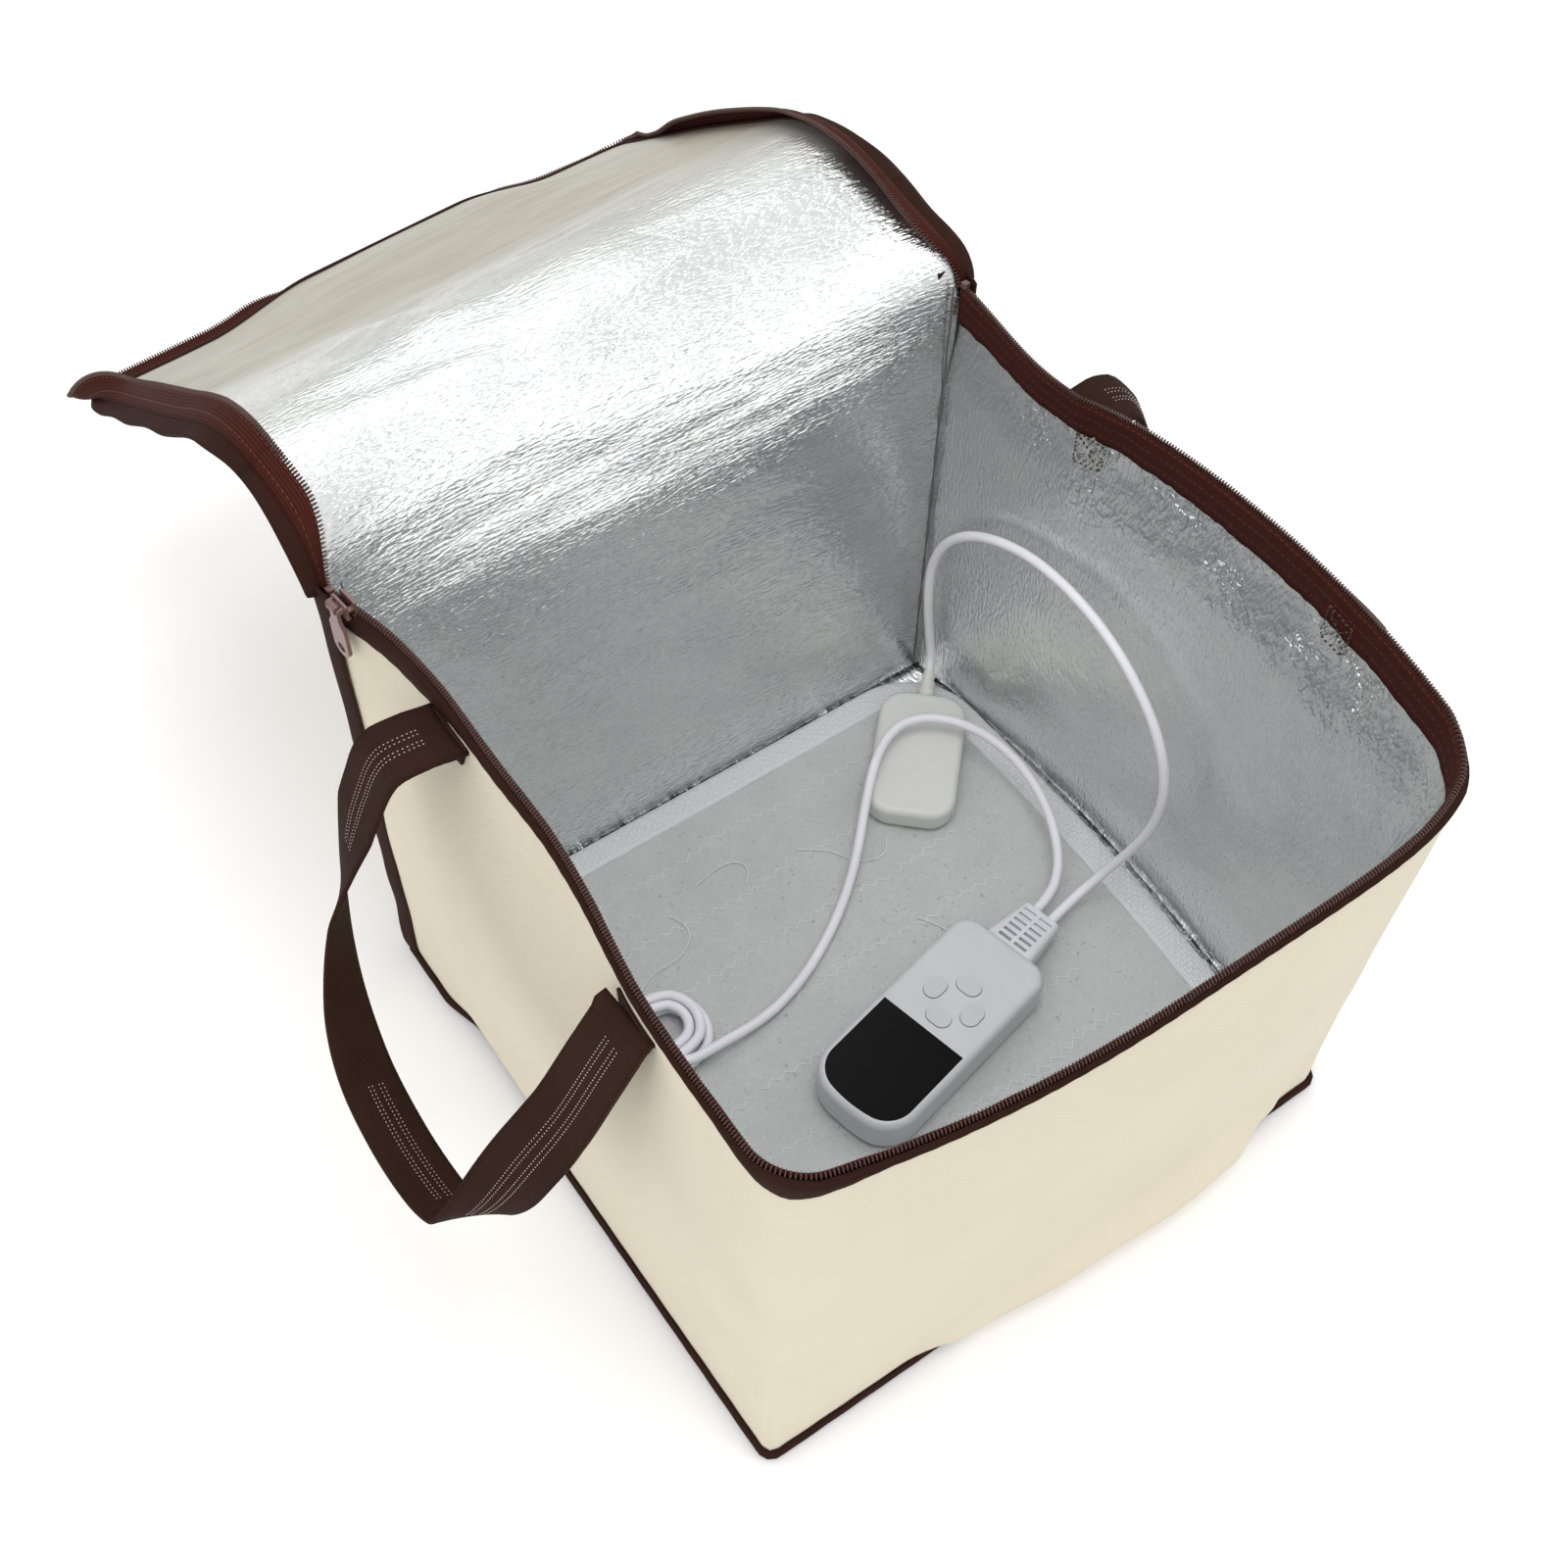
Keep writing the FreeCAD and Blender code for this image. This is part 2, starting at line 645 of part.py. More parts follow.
def controller_plan(shrink, low, high):
    half = controller_width / 2 - shrink
    cord_end = controller_length / 2 - shrink
    tip = -controller_length / 2 + shrink
    shoulder = tip + display_end_bulge
    corners = [Vector(shoulder, half, low), Vector(cord_end, half, low),
               Vector(cord_end, -half, low), Vector(shoulder, -half, low)]
    edges = [Part.LineSegment(corners[i], corners[i + 1]).toShape() for i in range(3)]
    edges.append(Part.Arc(corners[3], Vector(tip, 0, low), corners[0]).toShape())
    body = Part.Face(Part.Wire(edges)).extrude(up * (high - low))
    for limit, radius in ((1, cord_end_corner - shrink), (-1, display_end_corner - shrink)):
        upright = [edge for edge in body.Edges if edge.BoundBox.ZLength > (high - low) / 2
                   and edge.CenterOfMass.x * limit > controller_length / 2 - display_end_corner]
        body = body.makeFillet(radius, upright)
    return body


def button_spots():
    x, y = button_centre
    step = button_spread
    return [("button_up", x + step, y, 90), ("button_down", x - step, y, 90),
            ("button_plus", x, y + step, 0), ("button_minus", x, y - step, 0)]


def oval(grow, x, y, turn, low, high):
    length = button_size[0] + 2 * grow
    width = button_size[1] + 2 * grow
    shape = rounded_plate(length, width, width / 2 - 0.01, low, high)
    shape.rotate(Vector(), up, turn)
    shape.translate(Vector(x, y, 0))
    return shape


def boss_spots():
    return [(sx * boss_inset[0], sy * boss_inset[1]) for sx in (-1, 1) for sy in (-1, 1)]


def make_controller():
    place = Placement(Vector(controller_place[0], controller_place[1], mat_top), Rotation(up, controller_turn))
    top = controller_height
    roof = top - controller_wall
    case = soft_edges(controller_plan(0, 0, top), controller_edge, 0, top)
    cavity = controller_plan(controller_wall + controller_edge / 2, controller_wall, roof)
    shell = case.cut(cavity)
    base = shell.common(level(0, controller_split))
    cover = shell.common(level(controller_split, top))
    window_low = top - window_thickness
    pane_zone = block((-reach_all, -reach_all, window_low), (window_edge, reach_all, top))
    window = controller_plan(window_margin, window_low, top).common(pane_zone)
    sight = controller_plan(window_margin + window_ledge, 0, top)
    sight = sight.common(block((-reach_all, -reach_all, roof), (window_edge - window_ledge, reach_all, top)))
    cover = cover.cut(window).cut(sight)
    board_top = board_height + board_size[2]
    half = [size / 2 for size in board_size]
    board = block((-half[0], -half[1], board_height), (half[0], half[1], board_top))
    screws = []
    for x, y in boss_spots():
        post = Part.makeCylinder(boss_radius, board_height - controller_wall, Vector(x, y, controller_wall))
        upper = Part.makeCylinder(boss_radius, roof - board_top, Vector(x, y, board_top))
        shank = Part.makeCylinder(screw_radius, board_top + screw_bite - screw_head, Vector(x, y, screw_head))
        head = Part.makeCylinder(screw_head_radius, screw_head, Vector(x, y, 0))
        clear = Part.makeCylinder(screw_radius + screw_clearance, board_top + screw_bite, Vector(x, y, 0))
        sink = Part.makeCylinder(screw_head_radius + screw_clearance, screw_head, Vector(x, y, 0))
        base = base.fuse(post).cut(clear).cut(sink)
        cover = cover.fuse(upper).cut(clear)
        board = board.cut(clear)
        screws.append(head.fuse(shank).removeSplitter())
    buttons = {}
    switch_top = board_top + switch_size[2]
    for name, x, y, turn in button_spots():
        switch = block((x - switch_size[0] / 2, y - switch_size[1] / 2, board_top),
                       (x + switch_size[0] / 2, y + switch_size[1] / 2, switch_top))
        board = board.fuse(switch)
        cover = cover.cut(oval(button_clearance, x, y, turn, roof - 1, top + 1))
        flange_top = roof - button_flange_gap
        stem = oval(0, x, y, turn, switch_top + button_travel_gap, top + button_proud)
        flange = oval(button_flange, x, y, turn, flange_top - button_flange, flange_top)
        buttons[name] = stem.fuse(flange).removeSplitter()
    display_x = (-controller_length / 2 + window_edge) / 2
    display = block((display_x - display_size[0] / 2, -display_size[1] / 2, board_top),
                    (display_x + display_size[0] / 2, display_size[1] / 2, window_low - display_gap))
    pieces = {
        "controller_base": base.removeSplitter(),
        "controller_cover": cover.removeSplitter(),
        "controller_window": window,
        "controller_board": board.removeSplitter(),
        "controller_display": display,
        "controller_screws": Part.makeCompound(screws),
        "controller_relief": controller_boot(),
    }
    pieces.update(buttons)
    for name, shape in pieces.items():
        shape.Placement = place.multiply(shape.Placement)
        nodes[name] = shape
    for side in (-1, 1):
        tip = Vector(controller_length / 2 + boot_length, side * boot_cord_spread, controller_height / 2)
        print("controller cord exit", place.multVec(tip))


def controller_boot():
    # Flat tapered boot for two cords, with rows of slots that let it flex
    start = controller_length / 2
    middle = controller_height / 2
    sections = []
    for x, size in ((start, boot_root), (start + boot_length, boot_tip)):
        half = (size[0] / 2, size[1] / 2)
        corners = [Vector(x, sy * half[0], middle + sz * half[1])
                   for sy, sz in ((-1, -1), (1, -1), (1, 1), (-1, 1))]
        sections.append(Part.makePolygon(corners + corners[:1]))
    boot = Part.makeLoft(sections, True, True)
    long_edges = [edge for edge in boot.Edges if edge.BoundBox.XLength > boot_length / 2]
    boot = boot.makeFillet(boot_tip[1] / 3, long_edges)
    pitch = boot_length / (boot_slots + 1)
    rib = boot_slot[0] / 2
    for row in range(boot_slots):
        x = start + pitch * (row + 1)
        for side in (-1, 1):
            columns = sorted((side * rib, side * (rib + boot_slot[1])))
            for z in (middle + boot_tip[1] / 2 - boot_slot[2] / 2, -reach_all):
                high = middle - boot_tip[1] / 2 + boot_slot[2] / 2 if z < 0 else reach_all
                boot = boot.cut(block((x - rib, columns[0], z), (x + rib, columns[1], high)))
    return boot


def tube(wire, start, way):
    profile = Part.Wire(Part.makeCircle(cord_diameter / 2, start, way))
    shape = wire.makePipeShell([profile], True, False)
    expected = wire.Length * math.pi * cord_diameter ** 2 / 4
    print("tube length", round(wire.Length, 1), "volume over section times length", round(shape.Volume / expected, 4))
    return shape


def lead(name, route):
    # Straight runs joined by tangent arcs, each as large as its runs allow
    points = [Vector(*point) for point in route]
    edges = []
    radii = []
    place = points[0]
    for before, corner, after in zip(points, points[1:], points[2:]):
        reach = 0.45 * min((corner - before).Length, (after - corner).Length)
        start, middle, end = bend(before, corner, after, reach)
        edges += [Part.makeLine(place, start), Part.Arc(start, middle, end).toShape()]
        turn = math.pi - (before - corner).getAngle(after - corner)
        radii.append(round(reach / math.tan(turn / 2), 1))
        place = end
    edges.append(Part.makeLine(place, points[-1]))
    print(name, "bend radii", radii)
    nodes[name] = tube(Part.Wire(edges), points[0], points[1] - points[0])


def coil_wire(low):
    # Oval spiral: in on the lower layer, up one layer along a run, out on the upper
    run = coil_half_run
    half_pitch = coil_pitch / 2
    edges = []
    radius = coil_outer_radius
    y = half_pitch
    place = Vector(-run - radius, y + coil_tail, low)
    turn_start = Vector(-run - radius, y, low)
    edges.append(Part.makeLine(place, turn_start))
    slant = radius * math.sqrt(0.5)
    place = Vector(-run, y - radius, low)
    edges.append(Part.Arc(turn_start, Vector(-run - slant, y - slant, low), place).toShape())
    z = low
    for turn in range(coil_inward_half_turns + coil_outward_half_turns):
        side = 1 if turn % 2 == 0 else -1
        inward = turn < coil_inward_half_turns
        far = Vector(side * run, place.y, z)
        if turn == coil_inward_half_turns:
            z += coil_pitch
            far = Vector(side * run, place.y, z)
            edges += climb(place, far)
        else:
            edges.append(Part.makeLine(place, far))
        centre_y = 0.0
        if side < 0:
            centre_y = half_pitch if inward else -half_pitch
        radius = abs(far.y - centre_y)
        place = Vector(far.x, 2 * centre_y - far.y, z)
        edges.append(Part.Arc(far, Vector(far.x + side * radius, centre_y, z), place).toShape())
    edges.append(Part.makeLine(place, Vector(run, place.y, z)))
    return Part.Wire(edges)


def climb(start, end):
    # Two equal arcs, one up and one level again
    middle = (start + end) * 0.5
    rise = end.z - start.z
    length = abs(end.x - start.x)
    radius = (length * length + rise * rise) / (4 * rise)
    angle = math.asin(length / 2 / radius) / 2
    side = 1 if end.x > start.x else -1
    step = Vector(side * radius * math.sin(angle), 0, radius * (1 - math.cos(angle)))
    return [Part.Arc(start, start + step, middle).toShape(), Part.Arc(middle, end - step, end).toShape()]


def print_coil_gap(wire):
    points = wire.discretize(Distance=2.0)
    skip = 12
    least = min((points[i] - points[j]).Length for i in range(len(points)) for j in range(i + skip, len(points)))
    print("coil least gap to itself", round(least - cord_diameter, 2))


def make_coil():
    place = Vector(coil_place[0], coil_place[1], 0)
    low = mat_top + coil_lift + cord_diameter / 2
    wire = coil_wire(low)
    print_coil_gap(wire)
    start = wire.OrderedVertexes[0].Point
    end = wire.OrderedVertexes[-1].Point
    coil = tube(wire, start, Vector(0, -1, 0))
    print("coil start", start + place, "coil end", end + place)
    reach = coil_outer_radius - coil_pitch / 2 + cord_diameter / 2 + tie_gap
    high = low + coil_pitch + cord_diameter / 2 + tie_gap
    half = tie_width / 2
    under = mat_top + coil_lift - tie_gap
    tie = block((-half, -reach - tie_thickness, under - tie_thickness), (half, reach + tie_thickness, high + tie_thickness))
    tie = tie.cut(block((-half, -reach, under), (half, reach, high)))
    make_plug(start + place)
    for name, shape in (("mains_coil", coil), ("coil_tie", tie)):
        shape.translate(place)
        nodes[name] = shape


def make_plug(start):
    # Lies flat: the root is as high as the cord, the face stands on the same level
    floor = mat_top + mat_tape + plug_lift
    root = (plug_root_width, 2 * (start.z - floor))
    sections = []
    for y, size in ((0, root), (plug_length * plug_taper, plug_face), (plug_length, plug_face)):
        half = size[0] / 2
        corners = [Vector(-half, y, 0), Vector(half, y, 0), Vector(half, y, size[1]), Vector(-half, y, size[1])]
        sections.append(Part.makePolygon(corners + corners[:1]))
    body = Part.makeLoft(sections, True, True)
    blades = []
    for side in (-1, 1):
        x = side * blade_spacing / 2
        z = plug_face[1] / 2
        blade = block((x - blade_size[0] / 2, plug_length, z - blade_size[2] / 2),
                      (x + blade_size[0] / 2, plug_length + blade_size[1], z + blade_size[2] / 2))
        blades.append(blade)
    seat = Vector(start.x, start.y, floor)
    for name, shape in (("plug_body", body), ("plug_blades", Part.makeCompound(blades))):
        shape.translate(seat)
        nodes[name] = shape


# Each lead starts at the controller's boot, and the stretch near the junction box is placed from that box
heater_start = [(108.8, -28.15, 25.1), (121, -25.43, 25.1), (134, -24, 28), (146, -25, 36), (154, -29, 50),
                (159, -35, 70)]
heater_by_wall = [(44, -139, 94), (46, -136, 120), (47.5, -123, 143), (48.5, -101, 161), (49, -76, 173),
                  (48.5, -48, 179), (47.5, -20, 178.5), (45, 6, 171), (42.5, 27, 158), (40.5, 42, 139),
                  (39.5, 49, 116), (39.8, 49.5, 94), (41, 49, 74), (42.5, 48, 58), (43.5, 47, 47),
                  (43.3, 45.2, 39.5), (41.37, 42.83, 34.99), (38.92, 40.3, 32.03)]
mains_start = [(106.62, -18.4, 25.1), (120.8, -15.23, 25.1), (135, -5, 27.2), (147, 14, 31), (154, 38, 36)]
mains_over_box = [(37, -36, 39), (31, -11, 40), (18, 7, 40), (1, 15, 40), (-16, 11, 39), (-32, 0, 37),
                  (-47, -14, 30), (-62, -29, 21.5)]
mains_to_coil = [(38, 55, 16.8), (14, 38, 16.2), (-14, 23, 16.4), (-40, 15, 17), (-61, 13, 19.8),
                 (-78, 12.45, 23), (-94, 12.45, 23)]


def from_junction(points):
    return [(junction_place[0] + x, junction_place[1] + y, z) for x, y, z in points]


make_bag()
make_bindings()
make_zip()
make_lid()
make_slider()
make_straps()
make_mat()
make_junction()
make_controller()
make_coil()
lead("heater_lead", heater_start + from_junction(heater_by_wall))
lead("mains_lead", mains_start + from_junction(mains_over_box) + mains_to_coil)

os.makedirs("parts", exist_ok=True)
for node, solid in nodes.items():
    solid.exportStep("parts/" + node + ".step")
print(len(nodes), "nodes")
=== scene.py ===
import math

import bmesh
import bpy
from mathutils import Matrix, Vector, noise


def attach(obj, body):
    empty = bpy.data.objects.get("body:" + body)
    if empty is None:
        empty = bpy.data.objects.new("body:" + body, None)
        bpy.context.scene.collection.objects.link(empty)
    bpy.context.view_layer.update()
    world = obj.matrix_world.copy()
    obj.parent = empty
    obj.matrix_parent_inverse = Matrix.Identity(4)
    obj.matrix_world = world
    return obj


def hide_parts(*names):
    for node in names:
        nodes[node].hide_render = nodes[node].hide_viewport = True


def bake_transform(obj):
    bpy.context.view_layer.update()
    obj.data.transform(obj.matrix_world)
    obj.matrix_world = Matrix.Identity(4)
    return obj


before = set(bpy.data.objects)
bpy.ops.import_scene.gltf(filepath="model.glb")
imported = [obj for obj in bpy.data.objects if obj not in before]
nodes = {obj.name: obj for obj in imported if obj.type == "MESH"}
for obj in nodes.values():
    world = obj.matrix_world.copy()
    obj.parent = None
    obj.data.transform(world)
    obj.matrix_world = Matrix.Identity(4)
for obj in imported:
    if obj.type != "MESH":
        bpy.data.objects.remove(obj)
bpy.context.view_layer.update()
mm = 0.001  # pieces are modelled in millimetres and scaled when they are done
print("frame loaded,", len(nodes), "nodes")


# camera at the photograph's angle
shot = {
    "place": (-348.4, -407.6, 962.3),
    "right": (0.81808627, -0.57488064, 0.01571983),
    "up": (0.46204665, 0.67330108, 0.5772162),
    "back": (-0.3424146, -0.46494935, 0.81644004),
    "lens": 47.27,
}


def setCamera():
    data = bpy.data.cameras.new("camera")
    data.lens = shot["lens"]
    data.sensor_width = 36
    camera = bpy.data.objects.new("camera", data)
    turn = Matrix((shot["right"], shot["up"], shot["back"])).transposed()
    camera.matrix_world = Matrix.Translation(Vector(shot["place"]) * mm) @ turn.to_4x4()
    bpy.context.scene.collection.objects.link(camera)
    bpy.context.scene.camera = camera


# soft studio light, places in metres
studio = {
    "world": (1.0, 1.0, 1.0, 1.0),
    "worldStrength": 0.94,
    "lights": [
        ("keyLight", (-1.7, -0.7, 1.9), 1.6, 13),
        ("frontLight", (0.85, -1.65, 1.5), 1.6, 6),
        ("topLight", (0.0, -0.2, 2.3), 1.1, 12),
        ("rearLight", (0.5, 1.3, 2.1), 1.2, 5),
    ],
    "aim": (0.0, 0.05, 0.15),
    "floor": 9.0,
}


def addLights():
    scene = bpy.context.scene
    scene.view_settings.view_transform = "Standard"
    world = bpy.data.worlds.new("studio")
    scene.world = world
    world.use_nodes = True
    background = world.node_tree.nodes["Background"]
    background.inputs["Color"].default_value = studio["world"]
    background.inputs["Strength"].default_value = studio["worldStrength"]
    for name, place, size, power in studio["lights"]:
        data = bpy.data.lights.new(name, "AREA")
        data.shape = "DISK"
        data.size = size
        data.energy = power
        lamp = bpy.data.objects.new(name, data)
        towards = Vector(studio["aim"]) - Vector(place)
        turn = towards.to_track_quat("-Z", "Y").to_matrix().to_4x4()
        lamp.matrix_world = Matrix.Translation(place) @ turn
        scene.collection.objects.link(lamp)


def shade(red, green, blue):
    # a colour as a picture shows it, 0 to 255, made linear
    parts = [value / 255 for value in (red, green, blue)]
    return tuple(p / 12.92 if p < 0.04045 else ((p + 0.055) / 1.055) ** 2.4 for p in parts) + (1.0,)


class Value:
    # a socket that joins in Python sums: each sum adds a Math node
    def __init__(self, look, socket):
        self.look = look
        self.socket = socket

    def sum(self, kind, first, second):
        return self.look.node("ShaderNodeMath", {"operation": kind}, {0: first, 1: second})[0]

    def __add__(self, other):
        return self.sum("ADD", self, other)

    def __radd__(self, other):
        return self.sum("ADD", other, self)

    def __sub__(self, other):
        return self.sum("SUBTRACT", self, other)

    def __rsub__(self, other):
        return self.sum("SUBTRACT", other, self)

    def __mul__(self, other):
        return self.sum("MULTIPLY", self, other)

    def __truediv__(self, other):
        return self.sum("DIVIDE", self, other)

    def __mod__(self, other):
        return self.sum("FLOORED_MODULO", self, other)

    def __gt__(self, other):
        return self.sum("GREATER_THAN", self, other)

    def __lt__(self, other):
        return self.sum("LESS_THAN", self, other)


class Look:
    # one material: fixed numbers go straight on the shader's sockets
    def __init__(self, name, **fixed):
        self.material = bpy.data.materials.new(name)
        self.material.use_nodes = True
        self.tree = self.material.node_tree
        self.shader = self.tree.nodes["Principled BSDF"]
        for socket, value in fixed.items():
            self.shader.inputs[socket.replace("_", " ")].default_value = value

    def put(self, socket, value):
        if isinstance(value, Value):
            self.tree.links.new(value.socket, socket)
        else:
            socket.default_value = value

    def node(self, kind, settings, inputs):
        made = self.tree.nodes.new(kind)
        for key, value in settings.items():
            if key == "stops":
                ramp = made.color_ramp.elements
                while len(ramp) < len(value):
                    ramp.new(0.5)
                for element, (spot, tone) in zip(ramp, value):
                    element.position = spot
                    element.color = (tone, tone, tone, 1.0)
            else:
                setattr(made, key, value)
        for key, value in inputs.items():
            self.put(made.inputs[key], value)
        return [Value(self, socket) for socket in made.outputs]

    def mapped(self, source, scale, turn=0.0):
        sizes = {"Scale": scale, "Rotation": (0.0, 0.0, turn)}
        return self.node("ShaderNodeMapping", {}, {"Vector": source, **sizes})[0]

    def flat(self, scale=(1.0, 1.0, 1.0), turn=0.0):
        # the piece's own cut, in metres along and across
        return self.mapped(self.node("ShaderNodeUVMap", {"uv_map": "cut"}, {})[0], scale, turn)

    def solid(self, scale=(1.0, 1.0, 1.0), turn=0.0):
        return self.mapped(self.node("ShaderNodeTexCoord", {}, {})[3], scale, turn)

    def cloud(self, coords, scale, detail=2.0, rough=0.5):
        inputs = {"Vector": coords, "Scale": scale, "Detail": detail, "Roughness": rough}
        return self.node("ShaderNodeTexNoise", {}, inputs)[0]

    def cells(self, coords, scale):
        inputs = {"Vector": coords, "Scale": scale}
        return self.node("ShaderNodeTexVoronoi", {"feature": "DISTANCE_TO_EDGE"}, inputs)[0]

    def axes(self, coords):
        return self.node("ShaderNodeSeparateXYZ", {}, {0: coords})

    def sine(self, value, pitch):
        turn = value * (2 * math.pi / pitch)
        return self.node("ShaderNodeMath", {"operation": "SINE"}, {0: turn})[0]

    def ramp(self, value, stops):
        return self.node("ShaderNodeValToRGB", {"stops": stops}, {0: value})[0]

    def tint(self, share, low, high):
        return self.node("ShaderNodeMix", {"data_type": "RGBA"}, {0: share, 6: low, 7: high})[2]

    def relief(self, height, depth, before=None):
        inputs = {"Strength": 1.0, "Distance": depth, "Height": height}
        if before is not None:
            inputs["Normal"] = before
        return self.node("ShaderNodeBump", {}, inputs)[0]

    def wear(self, **links):
        # what changes over the surface
        for socket, value in links.items():
            self.put(self.shader.inputs[socket.replace("_", " ")], value)
        return self.material


def creamClothLook():
    look = Look("creamCloth", Sheen_Weight=0.15, Sheen_Roughness=0.5)
    cut = look.flat()
    along, up, _ = look.axes(cut)
    weave = look.sine(along, 0.0011) * look.sine(up, 0.0011)
    slub = look.cloud(look.flat((1.0, 6.0, 1.0)), 160.0, 3.0)
    patch = look.cloud(cut, 14.0, 4.0, 0.6)
    colour = look.tint(patch, shade(212, 202, 180), shade(226, 217, 196))
    colour = look.tint(slub * 0.25, colour, shade(202, 190, 166))
    return look.wear(Base_Color=colour, Roughness=0.8 + patch * 0.12,
                     Normal=look.relief(weave * 0.6 + slub, 0.00018))


def foilLook(name, streak, dull, glints=False, matt=False):
    # thin bright film, crinkled in short dashes along one way
    look = Look(name)
    cut = look.flat()
    along, up, _ = look.axes(cut)
    dash = look.cloud(look.flat(streak), 1.0, 2.0, 0.5)
    fine = look.cloud(look.flat(tuple(size * 2.1 for size in streak)), 1.0, 2.0, 0.5)
    wave = look.cloud(look.flat(tuple(size * 0.3 for size in streak)), 1.0, 1.0, 0.4)
    ridge = look.ramp(dash, [(0.36, 0.0), (0.5, 0.5), (0.64, 1.0)])
    folds = look.cells(look.flat((1.0, 1.4, 1.0), 0.35), 26.0)
    crease = look.ramp(folds, [(0.0, 0.0), (0.04, 1.0)])
    patch = look.cloud(cut, 20.0, 3.0, 0.6)
    height = ridge * 0.25 + fine * 0.08 + wave * 0.16 + crease * 0.08 + patch * 0.12
    rough = dull + patch * 0.08 - ridge * 0.05
    if glints:
        # buckled film under the right rim
        under = look.ramp(up * 3.0, [(0.62, 0.0), (0.76, 1.0)])
        reach = look.ramp(along, [(0.03, 0.0), (0.09, 1.0), (0.26, 1.0), (0.32, 0.0)])
        here = under * reach * look.ramp(look.cloud(cut, 34.0, 2.0), [(0.46, 0.0), (0.58, 1.0)])
        lumps = look.cloud(look.flat((1.0, 0.6, 1.0), 0.5), 260.0, 1.0)
        buckle = look.ramp(lumps, [(0.42, 0.0), (0.58, 1.0)])
        height = height + here * buckle * 1.4
        rough = rough - here * 0.06
    colour = look.tint(patch, shade(206, 209, 210), shade(236, 237, 236))
    # painted highlight: the ridges of the crinkle are made lighter
    colour = look.tint(ridge * 0.2, colour, shade(248, 248, 246))
    metal = 0.98 - patch * 0.06
    if matt:
        # the far half of the lid is dull, and its colour takes a painted warm reflection
        dullAndPaintedReflection = look.ramp(up + along * 0.15, [(0.425, 0.0), (0.5, 1.0)])
        # painted reflection: a warm beige mixed into the far half's colour
        paintedReflectionTone = look.tint(patch, shade(158, 154, 136), shade(186, 182, 166))
        colour = look.tint(dullAndPaintedReflection * 0.9, colour, paintedReflectionTone)
        metal = metal - dullAndPaintedReflection * 0.5
        rough = rough + dullAndPaintedReflection * 0.3
        height = height * (1 - dullAndPaintedReflection * 0.55)
    return look.wear(Base_Color=colour, Metallic=metal, Roughness=rough,
                     Normal=look.relief(height, 0.001))


def webbingLook(name, dark, light, pitch, depth):
    look = Look(name, Specular_IOR_Level=0.05)
    along, across, _ = look.axes(look.flat())
    weave = look.sine(along + across, pitch) * look.sine(along - across, pitch)
    fibre = look.cloud(look.flat((1.0, 3.0, 1.0)), 900.0, 2.0)
    fade = look.cloud(look.flat(), 30.0, 3.0)
    colour = look.tint(weave * 0.3 + fibre * 0.4 + fade * 0.3, dark, light)
    return look.wear(Base_Color=colour, Roughness=0.62 + fibre * 0.2,
                     Normal=look.relief(weave + fibre * 0.5, depth))


def zipTapeLook():
    look = Look("zipTape", Specular_IOR_Level=0.08)
    along, across, _ = look.axes(look.flat())
    rib = look.sine(across, 0.0016)
    twill = look.sine(along + across * 1.5, 0.0011)
    stitch = look.sine(along, 0.0034) > -0.2
    row = ((across % 0.0068) > 0.0046) * ((across % 0.0068) < 0.0054)
    thread = stitch * row
    colour = look.tint(rib * 0.3 + twill * 0.2 + 0.4, shade(50, 20, 15), shade(82, 38, 29))
    colour = look.tint(thread * 0.55, colour, shade(112, 66, 54))
    return look.wear(Base_Color=colour, Roughness=0.7 - thread * 0.15,
                     Normal=look.relief(rib + twill * 0.4 + thread, 0.00022))


def teethLook():
    look = Look("zipCoil", Coat_Roughness=0.2)
    patch = look.cloud(look.solid(), 900.0, 2.0)
    colour = look.tint(patch, shade(46, 26, 21), shade(92, 60, 50))
    return look.wear(Base_Color=colour, Roughness=0.38 + patch * 0.2, Coat_Weight=patch * 0.15)


def paintedMetalLook():
    look = Look("paintedZipMetal", Metallic=0.35, Coat_Roughness=0.25)
    grain = look.cloud(look.solid(), 2200.0, 2.0)
    scuff = look.ramp(look.cloud(look.solid(), 320.0, 4.0, 0.7), [(0.52, 0.0), (0.72, 1.0)])
    colour = look.tint(grain, shade(98, 70, 66), shade(122, 92, 86))
    colour = look.tint(scuff * 0.4, colour, shade(160, 136, 128))
    return look.wear(Base_Color=colour, Roughness=0.34 + grain * 0.14, Coat_Weight=0.3 - scuff * 0.2,
                     Normal=look.relief(grain, 0.00005))


def feltLook():
    look = Look("greyFelt", Sheen_Weight=0.25, Sheen_Roughness=0.6)
    place = look.solid()
    fibreA = look.cloud(look.solid((1.0, 5.0, 1.0), 0.5), 340.0, 3.0, 0.6)
    fibreB = look.cloud(look.solid((5.0, 1.0, 1.0), 0.3), 300.0, 3.0, 0.6)
    mottle = look.cloud(place, 40.0, 5.0, 0.65)
    fleck = look.ramp(look.cloud(place, 420.0, 1.0), [(0.7, 0.0), (0.76, 1.0)])
    colour = look.tint(mottle * 0.5 + fibreA * 0.5, shade(175, 179, 179), shade(217, 219, 217))
    pale = look.ramp(fibreB, [(0.56, 0.0), (0.66, 1.0)])
    colour = look.tint(pale * 0.45, colour, shade(226, 227, 225))
    colour = look.tint(fleck * 0.5, colour, shade(122, 124, 124))
    return look.wear(Base_Color=colour, Roughness=0.9 + mottle * 0.08,
                     Normal=look.relief(fibreA + fibreB + mottle, 0.0007))


